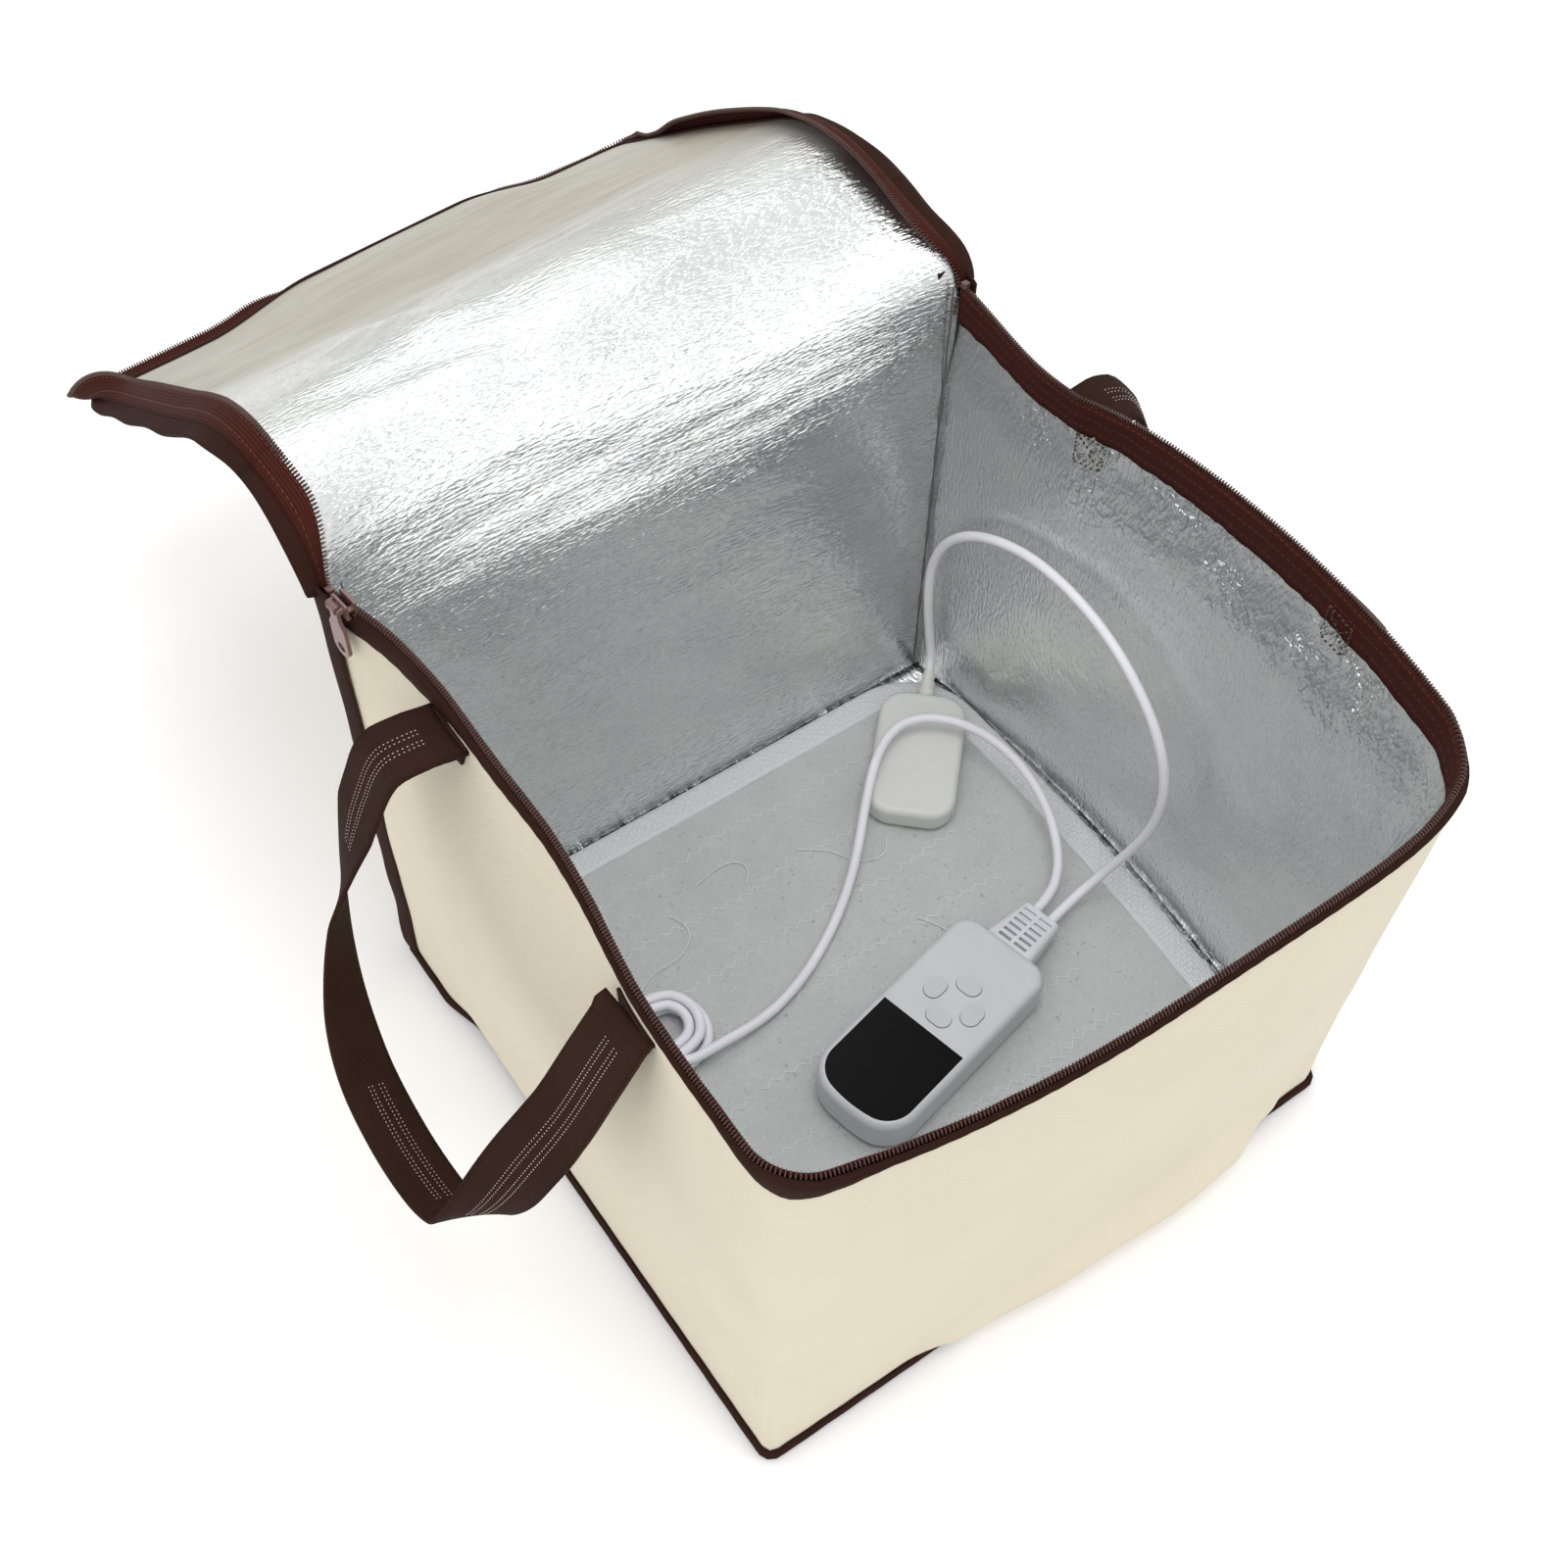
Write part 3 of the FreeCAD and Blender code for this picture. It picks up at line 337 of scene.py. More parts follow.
def laceTapeLook():
    # white edge tape with rows of small raised loops
    look = Look("laceTape", Sheen_Weight=0.2, Sheen_Roughness=0.5)
    along, across, _ = look.axes(look.flat())
    dots = look.sine(along, 0.0052) * look.sine(across + 0.0006, 0.0046)
    loops = look.ramp(dots, [(0.1, 0.0), (0.55, 1.0)])
    fibre = look.cloud(look.flat(), 700.0, 3.0)
    edge = look.ramp(look.sine(across, 0.034), [(0.25, 0.0), (0.5, 1.0)])
    colour = look.tint(loops * edge * 0.45 + fibre * 0.25, shade(208, 211, 212), shade(242, 243, 243))
    return look.wear(Base_Color=colour, Roughness=0.72 + fibre * 0.15,
                     Normal=look.relief(loops * edge + fibre * 0.4, 0.0005))


def mouldedLook(name, dark, light, rough):
    look = Look(name, Coat_Roughness=0.15, IOR=1.48)
    grain = look.cloud(look.solid(), 2600.0, 2.0)
    patch = look.cloud(look.solid(), 45.0, 4.0, 0.6)
    colour = look.tint(patch, dark, light)
    return look.wear(Base_Color=colour, Roughness=rough + grain * 0.08 + patch * 0.06,
                     Coat_Weight=0.06 + patch * 0.06, Normal=look.relief(grain, 0.00002))


def glossLook():
    look = Look("blackWindow", Specular_IOR_Level=0.06)
    dust = look.ramp(look.cloud(look.solid(), 1500.0, 2.0), [(0.66, 0.0), (0.76, 1.0)])
    smear = look.cloud(look.solid((1.0, 2.5, 1.0), 0.4), 60.0, 3.0)
    colour = look.tint(dust * 0.3, shade(13, 12, 13), shade(50, 48, 50))
    return look.wear(Base_Color=colour, Roughness=0.12 + smear * 0.12)


def plainMetalLook(name, dark, light):
    look = Look(name)
    scratch = look.cloud(look.solid((1.0, 9.0, 1.0)), 700.0, 3.0)
    colour = look.tint(scratch, dark, light)
    return look.wear(Base_Color=colour, Metallic=0.9 + scratch * 0.1, Roughness=0.24 + scratch * 0.2,
                     Normal=look.relief(scratch, 0.00003))


def cordLook():
    look = Look("cordWhite", Coat_Roughness=0.3)
    grain = look.cloud(look.solid(), 1200.0, 2.0)
    patch = look.cloud(look.solid(), 38.0, 3.0)
    colour = look.tint(patch, shade(218, 216, 224), shade(238, 237, 242))
    return look.wear(Base_Color=colour, Roughness=0.42 + grain * 0.12, Coat_Weight=0.08 + patch * 0.08,
                     Normal=look.relief(grain, 0.00004))


def threadLook(name, dark, light):
    look = Look(name, Sheen_Weight=0.2)
    ply = look.cloud(look.solid(), 1800.0, 2.0)
    return look.wear(Base_Color=look.tint(ply, dark, light), Roughness=0.7 + ply * 0.2,
                     Normal=look.relief(ply, 0.0001))


looks = {
    "cream": creamClothLook(),
    # the lid's far half is dulled and gets a painted warm reflection
    "foilBack": foilLook("foilBack", (160.0, 640.0, 1.0), 0.12, matt=True),
    "foilWall": foilLook("foilWall", (620.0, 170.0, 1.0), 0.18, glints=True),
    "webbing": webbingLook("brownWebbing", shade(38, 22, 17), shade(76, 52, 42), 0.0019, 0.0003),
    "binding": webbingLook("brownBinding", shade(38, 20, 16), shade(72, 46, 38), 0.0013, 0.0002),
    "zipTape": zipTapeLook(),
    "teeth": teethLook(),
    "zipMetal": paintedMetalLook(),
    "felt": feltLook(),
    "lace": laceTapeLook(),
    "case": mouldedLook("caseWhite", shade(192, 193, 196), shade(205, 206, 208), 0.36),
    "junction": mouldedLook("junctionWhite", shade(206, 207, 203), shade(219, 219, 215), 0.42),
    "boot": mouldedLook("bootWhite", shade(204, 204, 209), shade(219, 219, 223), 0.45),
    "button": mouldedLook("buttonGrey", shade(188, 189, 192), shade(200, 201, 204), 0.4),
    "window": glossLook(),
    "board": mouldedLook("boardGreen", shade(24, 92, 54), shade(40, 120, 72), 0.4),
    "display": mouldedLook("displayDark", shade(24, 26, 28), shade(46, 48, 50), 0.25),
    "cutout": plainMetalLook("cutoutMetal", shade(150, 152, 152), shade(196, 198, 198)),
    "screw": plainMetalLook("screwSteel", shade(140, 140, 142), shade(190, 190, 192)),
    "brass": plainMetalLook("bladeBrass", shade(170, 140, 84), shade(214, 184, 122)),
    "cord": cordLook(),
    "plug": mouldedLook("plugWhite", shade(222, 221, 226), shade(238, 237, 241), 0.4),
    "tie": mouldedLook("tieWhite", shade(226, 226, 228), shade(241, 241, 243), 0.5),
    "paleThread": threadLook("paleThread", shade(158, 142, 134), shade(212, 200, 192)),
    "darkThread": threadLook("darkThread", shade(44, 26, 22), shade(86, 56, 48)),
    "whiteThread": threadLook("whiteThread", shade(214, 216, 216), shade(242, 243, 242)),
    "seam": threadLook("seamLine", shade(58, 54, 54), shade(104, 100, 98)),
}
print("materials made,", len(looks))


def finishPiece(bm, name, look, body=None, replaced=(), normals=None):
    # scales to metres, links, shades smooth, and hangs the piece on its body
    bmesh.ops.scale(bm, vec=(mm, mm, mm), verts=bm.verts)
    for face in bm.faces:
        face.smooth = True
    mesh = bpy.data.meshes.new(name)
    bm.to_mesh(mesh)
    bm.free()
    if normals:
        mesh.normals_split_custom_set_from_vertices(normals)
    piece = bpy.data.objects.new(name, mesh)
    bpy.context.scene.collection.objects.link(piece)
    mesh.materials.append(looks[look])
    if body:
        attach(piece, body)
    if replaced:
        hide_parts(*replaced)
    print("made", name, len(mesh.polygons), "faces")
    return piece


def sheetInto(bm, columns, rows, span, place):
    # a flat grid, with its cut kept as UV in metres, moved to where place(along, across) puts it
    cut = bm.loops.layers.uv.get("cut") or bm.loops.layers.uv.new("cut")
    made = bmesh.ops.create_grid(bm, x_segments=columns, y_segments=rows, size=0.5)["verts"]
    for face in {face for vert in made for face in vert.link_faces}:
        for loop in face.loops:
            spot = loop.vert.co
            loop[cut].uv = ((spot.x + 0.5) * span[0] * mm, (spot.y + 0.5) * span[1] * mm)
    for vert in made:
        vert.co = place(vert.co.x + 0.5, vert.co.y + 0.5)
    return made


def thicken(bm, thickness):
    # fresh normals first: a new grid keeps those it was made with
    bm.normal_update()
    bmesh.ops.solidify(bm, geom=bm.faces[:], thickness=thickness)
    bmesh.ops.recalc_face_normals(bm, faces=bm.faces[:])


def sheetOf(columns, rows, span, place, thickness=0.0):
    bm = bmesh.new()
    sheetInto(bm, columns, rows, span, place)
    if thickness:
        thicken(bm, thickness)
    return bm


def bead(place, along, across, up, size):
    # place, turn and size of one small rounded lump
    turn = Matrix((along * size[0], across * size[1], up * size[2])).transposed().to_4x4()
    return Matrix.Translation(place) @ turn


def beadsInto(bm, beads, batchSize=50):
    # few faces each, as there are hundreds; in batches, as an operator walks its whole mesh
    for start in range(0, len(beads), batchSize):
        batch = bmesh.new()
        for matrix in beads[start:start + batchSize]:
            bmesh.ops.create_uvsphere(batch, u_segments=6, v_segments=4, radius=1.0, matrix=matrix)
        part = bpy.data.meshes.new("batch")
        batch.to_mesh(part)
        batch.free()
        bm.from_mesh(part)
        bpy.data.meshes.remove(part)


def clamp(value, low=0.0, high=1.0):
    return max(low, min(high, value))


def ease(value):
    value = clamp(value)
    return value * value * (3 - 2 * value)


def rise(value, start, over):
    # from nothing at the start to one; a negative over falls instead
    return ease((value - start) / over)


def lump(value, middle, reach):
    return math.exp(-((value - middle) / reach) ** 2)


def hump(value, middle, reach):
    # one at the middle and nothing beyond the reach
    return max(0.0, 1 - ((value - middle) / reach) ** 2)


def fromTable(points, t):
    for (t0, a0), (t1, a1) in zip(points, points[1:]):
        if t <= t1:
            return a0 + (a1 - a0) * ease((t - t0) / (t1 - t0))
    return points[-1][1]


def ripple(place, size, depth):
    return noise.noise(Vector(place) / size) * depth


def through(points):
    # smooth curve through points in the plane or in space, by distance along them
    points = [Vector(point) for point in points]
    marks = [0.0]
    for first, second in zip(points, points[1:]):
        marks.append(marks[-1] + (second - first).length)

    def slope(index):
        before = max(0, index - 1)
        after = min(len(points) - 1, index + 1)
        return (points[after] - points[before]) / (marks[after] - marks[before])

    def at(mark):
        index = len(points) - 2
        for i in range(len(points) - 1):
            if mark <= marks[i + 1]:
                index = i
                break
        gap = marks[index + 1] - marks[index]
        t = (mark - marks[index]) / gap
        if t > 1:
            return points[-1] + slope(len(points) - 1) * (mark - marks[-1])
        first = points[index] * (2 * t ** 3 - 3 * t ** 2 + 1)
        first += slope(index) * gap * (t ** 3 - 2 * t ** 2 + t)
        second = points[index + 1] * (3 * t ** 2 - 2 * t ** 3)
        return first + second + slope(index + 1) * gap * (t ** 3 - t ** 2)

    return at, marks[-1]


def wrapFlat(t, half, near, far, radius):
    # left side, round a corner, across, round a corner and back along the right side
    way = 1 if far > near else -1
    side = abs(far - near) - radius
    arc = radius * math.pi / 2
    across = 2 * (half - radius)
    run = t * (2 * side + 2 * arc + across)
    if run <= side:
        return -half, near + way * run
    run -= side
    if run <= arc:
        angle = run / radius
        return -half + radius - radius * math.cos(angle), far - way * radius * (1 - math.sin(angle))
    run -= arc
    if run <= across:
        return -half + radius + run, far
    run -= across
    if run <= arc:
        angle = run / radius
        return half - radius + radius * math.sin(angle), far - way * radius * (1 - math.cos(angle))
    run -= arc
    return half, far - way * radius - way * run


# body of the bag: the same walls as the solids, with a belly and rounder cloth
bag = {
    "half": 172.0,
    "front": -170.0,
    "rear": 163.0,
    "rim": 298.5,
    "rimCorner": 20.0,
    "baseCorner": 5.0,
    "leastCorner": 1.5,
    "turn": 30.0,                   # from a corner, where one wall's form goes over into the next
    "frontBow": 24.0,
    "frontBelly": 9.0,
    "sideBow": 12.5,
    "sideBelly": 3.0,
    "sideSpan": (4.0, 168.0),       # middle and reach along a side
    "sideSkew": 1100.0,
    "rightRimBow": 17.0,
    "rightRimSpan": (-50.0, 125.0),
    "rightDip": 9.0,
    "dipSpan": (105.0, 42.0),
    "leftBelly": 5.0,
    # the cloth hangs over the base: along the front and out, then up and reach
    "lowBelly": [(-172, 0), (-95, 0), (-60, 8), (0, 14), (60, 17), (95, 15), (130, 5), (150, 0),
                 (172, 0)],
    "lowLevel": (20.0, 16.0),
    # the base seam hides under the cloth here: in, along the left side, reach, fade and up
    "tuck": (10.0, 65.0, 62.0, 35.0, 28.0),
    "tuckedLayers": 3.0,            # only what lies nearer the outside than this is tucked
    # along the left side and in, at the rim
    "leftSag": [(163, 0), (158, 1.2), (142, 6), (124, 10), (105, 12.2), (87, 13.2), (44, 12.6),
                (7, 12.8), (-14, 11.2), (-32, 9), (-54, 5.4), (-75, 2.4), (-100, 0.8), (-130, 0),
                (-196, 0)],
    # share of the way round, and the top edge of the cream cloth
    "creamTop": [(0.0, 283.5), (0.05, 285.0), (0.11, 290.5), (0.2, 293.0), (0.29, 293.0),
                 (0.314, 289.0), (0.331, 282.5), (0.348, 288.5), (0.372, 293.0), (0.44, 293.8),
                 (0.52, 294.0), (0.62, 293.8), (0.67, 292.0), (0.74, 289.5), (0.85, 286.0),
                 (1.0, 284.0)],
    "creamLow": 1.0,
    "wobble": 1.4,
    "wobbleSize": 85.0,
    "crumpleSize": 19.0,
    "round": 990.0,
    "clothHigh": 290.0,
    "clothThick": 1.2,
    "clothGrid": (230, 56),
}
sagRun, _ = through([(y, sag * mm) for y, sag in bag["leftSag"]])

# foil lining of the walls: pinched thin under the rim, puckered where the right strap is sewn on
liner = {
    "inset": 7.0,
    "pinch": 5.4,
    "pinchSpan": (228.0, 44.0),
    "low": 7.0,
    "high": 272.0,
    "thick": 0.4,
    "crumple": 0.4,
    "puckers": [(64.0, 266.0), (-89.0, 276.0)],
    "puckerReach": 15.0,
    "puckerRays": 9,
    "grid": (300, 84),
}


def sagAt(y):
    return sagRun(bag["rear"] - y).y / mm


def wallPoint(t, inset, z, crumple=0.0, slack=1.0):
    high = clamp(z / bag["rim"])
    radius = bag["baseCorner"] + (bag["rimCorner"] - bag["baseCorner"]) * ease(high * 1.2) - inset
    half = bag["half"] - inset
    front = bag["front"] + inset
    turn = bag["turn"]
    x, y = wrapFlat(t, half, bag["rear"], front, max(radius, bag["leastCorner"]))
    onFront = ease((front + turn - y) / turn)
    onLeft = ease((-half + turn - x) / turn)
    onRight = ease((x - half + turn) / turn)
    belly = 4 * high * (1 - high)
    broad = 1 - abs(x / half) ** (2.3 if x < 0 else 2 + 4.5 * high)
    bow = (bag["frontBow"] * high + bag["frontBelly"] * belly) * broad
    bow += slack * fromTable(bag["lowBelly"], x) * lump(z, *bag["lowLevel"])
    even = hump(y, *bag["sideSpan"]) * (1 + y / bag["sideSkew"])
    swell = (bag["sideBow"] + bag["sideBelly"] * belly) * even * (1 - high ** 2)
    swell += bag["rightRimBow"] * high ** 2 * hump(y, *bag["rightRimSpan"])
    sag = sagAt(y) * high ** 1.3 - bag["leftBelly"] * belly * even
    dip = bag["rightDip"] * lump(y, *bag["dipSpan"]) * high ** 3 * onRight
    tuck = 0.0
    if inset < bag["tuckedLayers"]:
        depth, middle, reach, fade, low = bag["tuck"]
        tuck = depth * ease((reach - abs(y - middle)) / fade) * clamp(1 - z / low) ** 2
    place = Vector((x + onLeft * (sag + tuck) + onRight * swell, y - onFront * max(bow, 0), z - dip))
    shake = ripple((x, y, z), bag["wobbleSize"], bag["wobble"]) * belly
    crinkle = noise.noise(Vector((x, y, z * 1.7)) / bag["crumpleSize"])
    shake += crumple * crinkle * min(1.0, (1 - high) * 9)
    way = Vector((onRight - onLeft, -onFront, 0))
    if way.length > 0.01:
        place += way.normalized() * shake
    return place


def creamTop(t):
    # the brown binding shows most at the corners
    return fromTable(bag["creamTop"], t)


def liningInset(z):
    return liner["inset"] - liner["pinch"] * rise(z, *liner["pinchSpan"])


def makeWalls():
    long = bag["round"]

    def outer(u, v):
        return wallPoint(u, 0.0, bag["creamLow"] + (creamTop(u) - bag["creamLow"]) * v)

    bm = sheetOf(*bag["clothGrid"], (long, bag["clothHigh"]), outer, bag["clothThick"])
    wall = finishPiece(bm, "creamWall", "cream", "bag", ("outer_wall", "foam_wall"))

    def lining(u, v):
        z = liner["low"] + (liner["high"] + ripple((u * long, 0, 0), 9, 1.8)) * v
        spot = wallPoint(1 - u, liningInset(z), z, liner["crumple"])
        reach = liner["puckerReach"]
        for y, level in liner["puckers"]:
            near = lump(spot.y, y, reach) * lump(spot.z, level, reach) * ease(spot.x / 60)
            around = math.atan2(spot.z - level, spot.y - y)
            rays = math.sin(around * liner["puckerRays"])
            spot.x -= near * (1.5 + rays + ripple(spot, 4, 1.8))
        return spot

    bm = sheetOf(*liner["grid"], (long, liner["high"]), lining, liner["thick"])
    finishPiece(bm, "foilWall", "foilWall", "bag", ("liner_wall",))


makeWalls()


# the back wall and the lid are one run of foil, over one run of cream cloth set the foam's thickness
# behind it
lid = {
    "half": 172.0,
    "corner": 12.0,
    "bow": 5.0,
    "starts": 300.0,                # along the run, where the lid goes on from the wall
    "drift": (-4.0, -1.5),          # sideways, along the left edge and the right one
    "arch": 8.0,
    "archWay": (0, 0.55, 0.83),
    "archSpan": ((-100.0, 65.0), (122.0, -60.0), (500.0, 120.0)),   # rise and fall across, rise along
    "bend": (298.0, 40.0, 23.0),    # the rounding from wall to lid: along the run, reach and depth
    "bendWay": (0, 0.75, -0.66),
    # height, then middle and reach along the run and across it
    "dents": [(3.2, (405, 26), (-60, 60)), (-3.0, (372, 14), (-95, 55))],
    "creases": (2.4, 11.0, (430, 34), (-70, 36)),                   # with their pitch after the height
    "thick": 6.6,
    "foilThick": 0.4,
    "foilGrid": (110, 200),
    "creamThick": 1.2,
    "creamGrid": (80, 130),
    "left": [(163, 7), (163, 60), (163, 120), (163, 180), (163.2, 240), (163.8, 275), (165, 292),
             (169, 304.5), (177, 314), (190, 320.5), (208, 324.5), (230, 324.5), (254, 316.5),
             (276, 303.5), (300, 286), (350, 250.5), (400, 215), (440, 186.5), (466, 168)],
    "right": [(163, 7), (163, 60), (163, 120), (163, 180), (163.2, 240), (163.8, 275), (164.5, 289),
              (167.5, 299), (175, 306.5), (188, 310.5), (206, 312.5), (228, 316.5), (248, 319),
              (266, 318), (284, 313), (302, 305), (340, 279), (386, 246.5), (437, 208), (477, 178)],
    "partAt": 212.0,                # in y, where the run is parted into its near piece and its far piece
    "hingeFrom": (0, 165.0, 301.0),
    "hingeTo": (0, 192.0, 322.0),
    "foldFrom": (0, 212.0, 327.0),
    "foldTo": (0, 278.0, 297.0),
}
leftRun, leftLength = through(lid["left"])
rightRun, rightLength = through(lid["right"])


def farEnd(x):
    # share of the run's length at the far edge: rounded corners and a bow
    over = abs(x) - (lid["half"] - lid["corner"])
    if over > 0:
        return 1.0 - (lid["corner"] - math.sqrt(max(lid["corner"] ** 2 - over ** 2, 0))) / leftLength
    return 1.0 + lid["bow"] * (1 - (x / (lid["half"] - lid["corner"])) ** 2) / leftLength


def runPoint(x, share):
    # share of the run from the floor up the back wall and over the lid
    half = lid["half"]
    a = ease((x + half) / (2 * half)) * 0.5 + (x + half) / (4 * half)
    mark = share * leftLength
    spot = leftRun(mark).lerp(rightRun(share * rightLength), a)
    onLid = rise(mark, lid["starts"], 60)
    driftLeft, driftRight = lid["drift"]
    lean = onLid * (driftLeft * rise(mark, lid["starts"], 200)) * (1 - a) + onLid * a * driftRight
    place = Vector((x + lean, spot.x, spot.y))
    rises, falls, onwards = lid["archSpan"]
    arch = lid["arch"] * rise(x, *rises) * rise(x, *falls) * rise(mark, *onwards)
    place += Vector(lid["archWay"]) * arch
    slack = ease((mark - 20) / 60) * ease((leftLength + 14 - mark) / 40)
    inner = 1 - (x / half) ** 4
    middle, reach, depth = lid["bend"]
    place += Vector(lid["bendWay"]) * (depth * inner * lump(mark, middle, reach))
    lift = ripple((x * 0.55, mark, 0), 31, 1.6) + ripple((x * 0.4, mark * 2.1, 5), 17, 0.9)
    for high, along, across in lid["dents"]:
        lift += onLid * inner * high * lump(mark, *along) * lump(x, *across)
    high, pitch, along, across = lid["creases"]
    wave = math.sin((x + mark * 0.7) / pitch)
    lift += onLid * inner * high * wave * lump(mark, *along) * lump(x, *across)
    return place, lift * slack * inner


def runFrame(x, share):
    step = 0.004
    place, lift = runPoint(x, share)
    along = (runPoint(x, share + step)[0] - runPoint(x, share - step)[0]).normalized()
    across = (runPoint(x + 2, share)[0] - runPoint(x - 2, share)[0]).normalized()
    normal = across.cross(along).normalized()
    return place, normal, lift


def foilAt(x, share):
    place, normal, lift = runFrame(x, share)
    return place + normal * lift


def creamAt(x, share):
    place, normal, lift = runFrame(x, share)
    return place - normal * (lid["thick"] + 0.4) + normal * (lift * 0.5)


def runSheets(names, at, grid, flip, thickness, look):
    # one sheet from the floor to the far edge, then parted on the lid with its normals kept
    def place(u, v):
        x = lid["half"] * (2 * u - 1) * (-1 if flip else 1)
        return at(x, farEnd(x) * v)

    whole = sheetOf(*grid, (2 * lid["half"], leftLength), place, thickness)
    made = []
    for name, near in zip(names, (True, False)):
        part = whole.copy()
        part.normal_update()
        normals = {vert: vert.normal.copy() for vert in part.verts}
        spare = [face for face in part.faces if (face.calc_center_median().y > lid["partAt"]) == near]
        bmesh.ops.delete(part, geom=spare, context="FACES")
        made.append(finishPiece(part, name, look, normals=[normals[vert] for vert in part.verts]))
    whole.free()
    return made


def makeBackAndLid():
    foil = runSheets(("foilBack", "foilLid"), foilAt, lid["foilGrid"], False, lid["foilThick"],
                     "foilBack")
    cream = runSheets(("creamBack", "creamLid"), creamAt, lid["creamGrid"], True, lid["creamThick"],
                      "cream")
    for near, far in (foil, cream):
        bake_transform(near)
        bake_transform(far)
    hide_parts("liner_back", "foam_back", "lid_rear_liner")
    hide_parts("lid_front_liner")
    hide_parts("outer_back", "lid_rear_outer", "lid_rear_foam")
    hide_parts("lid_front_outer", "lid_front_foam")


makeBackAndLid()


# rim of the lid: binding round the panel's edge, with the tape and its teeth
lidRim = {
    "start": 287.0,                 # along the run, at both sides of the hinge
    "split": 352.0,
    # share of the way round, and the tape's lean from upright: in at the sides, out at the far edge
    "lean": [(0.0, -52), (0.28, -52), (0.345, 70), (0.43, 80), (0.475, 118), (0.555, 118),
             (0.595, 92), (0.64, 88), (0.662, 60), (0.70, -52), (1.0, -52)],
    "flange": [(0.0, 4.0), (0.1, 5.0), (0.3, 5.0), (0.36, 0.5), (0.64, 0.5), (0.7, 4.0),
               (0.82, 9.0), (0.94, 9.0), (1.0, 4.0)],
    "tape": 12.5,
    # share of the way round, and of the tape's width that shows
    "short": [(0.0, 0.1), (0.04, 1.0), (0.6, 1.0), (0.65, 0.15), (0.7, 0.15), (0.76, 1.0),
              (0.965, 1.0), (1.0, 0.1)],
    "thick": 0.8,
    "pitch": 1.55,
    "tooth": (0.46, 1.2, 1.9),
    "toothLift": 0.9,
}


def rimFlat(t):
    x, mark = wrapFlat(t, lid["half"], lidRim["start"], leftLength, lid["corner"])
    onFarEdge = abs(x) < lid["half"] - lid["corner"]
    return x, farEnd(x) if onFarEdge else mark / leftLength


def rimFrame(t):
    step = 0.003
    place, normal, _ = runFrame(*rimFlat(clamp(t)))
    before = runPoint(*rimFlat(clamp(t - step)))[0]
    after = runPoint(*rimFlat(clamp(t + step)))[0]
    along = (after - before).normalized()
    out = normal.cross(along).normalized()
    return place, along, out, normal


def rimLean(t):
    return math.radians(fromTable(lidRim["lean"], t) + 5 * math.sin(t * 41))


def tapeEnd(t, share):
    place, along, out, normal = rimFrame(t)
    lean = rimLean(t)
    way = normal * math.cos(lean) + out * math.sin(lean)
    bulge = out * math.cos(lean) - normal * math.sin(lean)
    reach = lidRim["tape"] * fromTable(lidRim["short"], t)
    spot = place + normal * 0.6 + way * (reach * share) + bulge * (1.2 * math.sin(math.pi * share))
    return spot, along, way, bulge


def bindingSection(t):
    # out from the panel's edge and up, from the foil side round to the cream side
    wide = 9.0 + 1.2 * math.sin(t * 57) + 0.8 * math.sin(t * 131)
    f = fromTable(lidRim["flange"], t) * (1 + 0.18 * math.sin(t * 83))
    return [(-3.5, 0.9), (-0.5, 1.3), (1.5 + f * 0.6, 0.9 - f * 0.15), (2.2 + f, -1.6 - f * 0.35),
            (1.9 + f * 0.75, -4.2 - f * 0.35), (0.6 + f * 0.2, -7.4), (-3.0, -8.1), (-wide, -8.2)]


def splitAt():
    sides = 2 * (leftLength - lidRim["start"] - lid["corner"])
    whole = sides + lid["corner"] * math.pi + 2 * (lid["half"] - lid["corner"])
    return (lidRim["split"] - lidRim["start"]) / whole, whole


def makeLidRim():
    hinge, whole = splitAt()
    parts = [("Hinge", [(0.0, hinge), (1 - hinge, 1.0)]), ("", [(hinge, 1 - hinge)])]
    for suffix, ranges in parts:
        band, tape, teeth = bmesh.new(), bmesh.new(), bmesh.new()
        beads = []
        for t0, t1 in ranges:
            long = (t1 - t0) * whole
            columns = max(12, int(long / 4))

            def bandPlace(u, v, t0=t0, t1=t1):
                t = t0 + (t1 - t0) * u
                place, along, out, normal = rimFrame(t)
                section = bindingSection(t)
                spot = v * (len(section) - 1)
                index = min(int(spot), len(section) - 2)
                a, b = Vector(section[index]), Vector(section[index + 1])
                o, n = a.lerp(b, spot - index)
                return place + out * o + normal * n

            def tapePlace(u, v, t0=t0, t1=t1):
                return tapeEnd(t0 + (t1 - t0) * u, v)[0]

            sheetInto(band, columns, 14, (long, 24), bandPlace)
            sheetInto(tape, columns, 6, (long, lidRim["tape"]), tapePlace)
            count = int(long / lidRim["pitch"])
            for i in range(count):
                t = t0 + (t1 - t0) * (i + 0.5) / count
                spot, along, way, bulge = tapeEnd(t, 1.0)
                lifted = spot + way * lidRim["toothLift"]
                beads.append(bead(lifted, along, bulge, way, lidRim["tooth"]))
        beadsInto(teeth, beads)
        thicken(band, lidRim["thick"])
        thicken(tape, lidRim["thick"])
        made = [
            finishPiece(band, "lidBinding" + suffix, "binding"),
            finishPiece(tape, "lidZipTape" + suffix, "zipTape"),
            finishPiece(teeth, "lidZipTeeth" + suffix, "teeth"),
        ]
        for piece, node in zip(made, ("binding", "zip_tape", "zip_chain")):
            if suffix:
                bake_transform(piece)
                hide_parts("lid_rear_" + node)
            else:
                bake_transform(piece)
                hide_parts("lid_front_" + node)


makeLidRim()


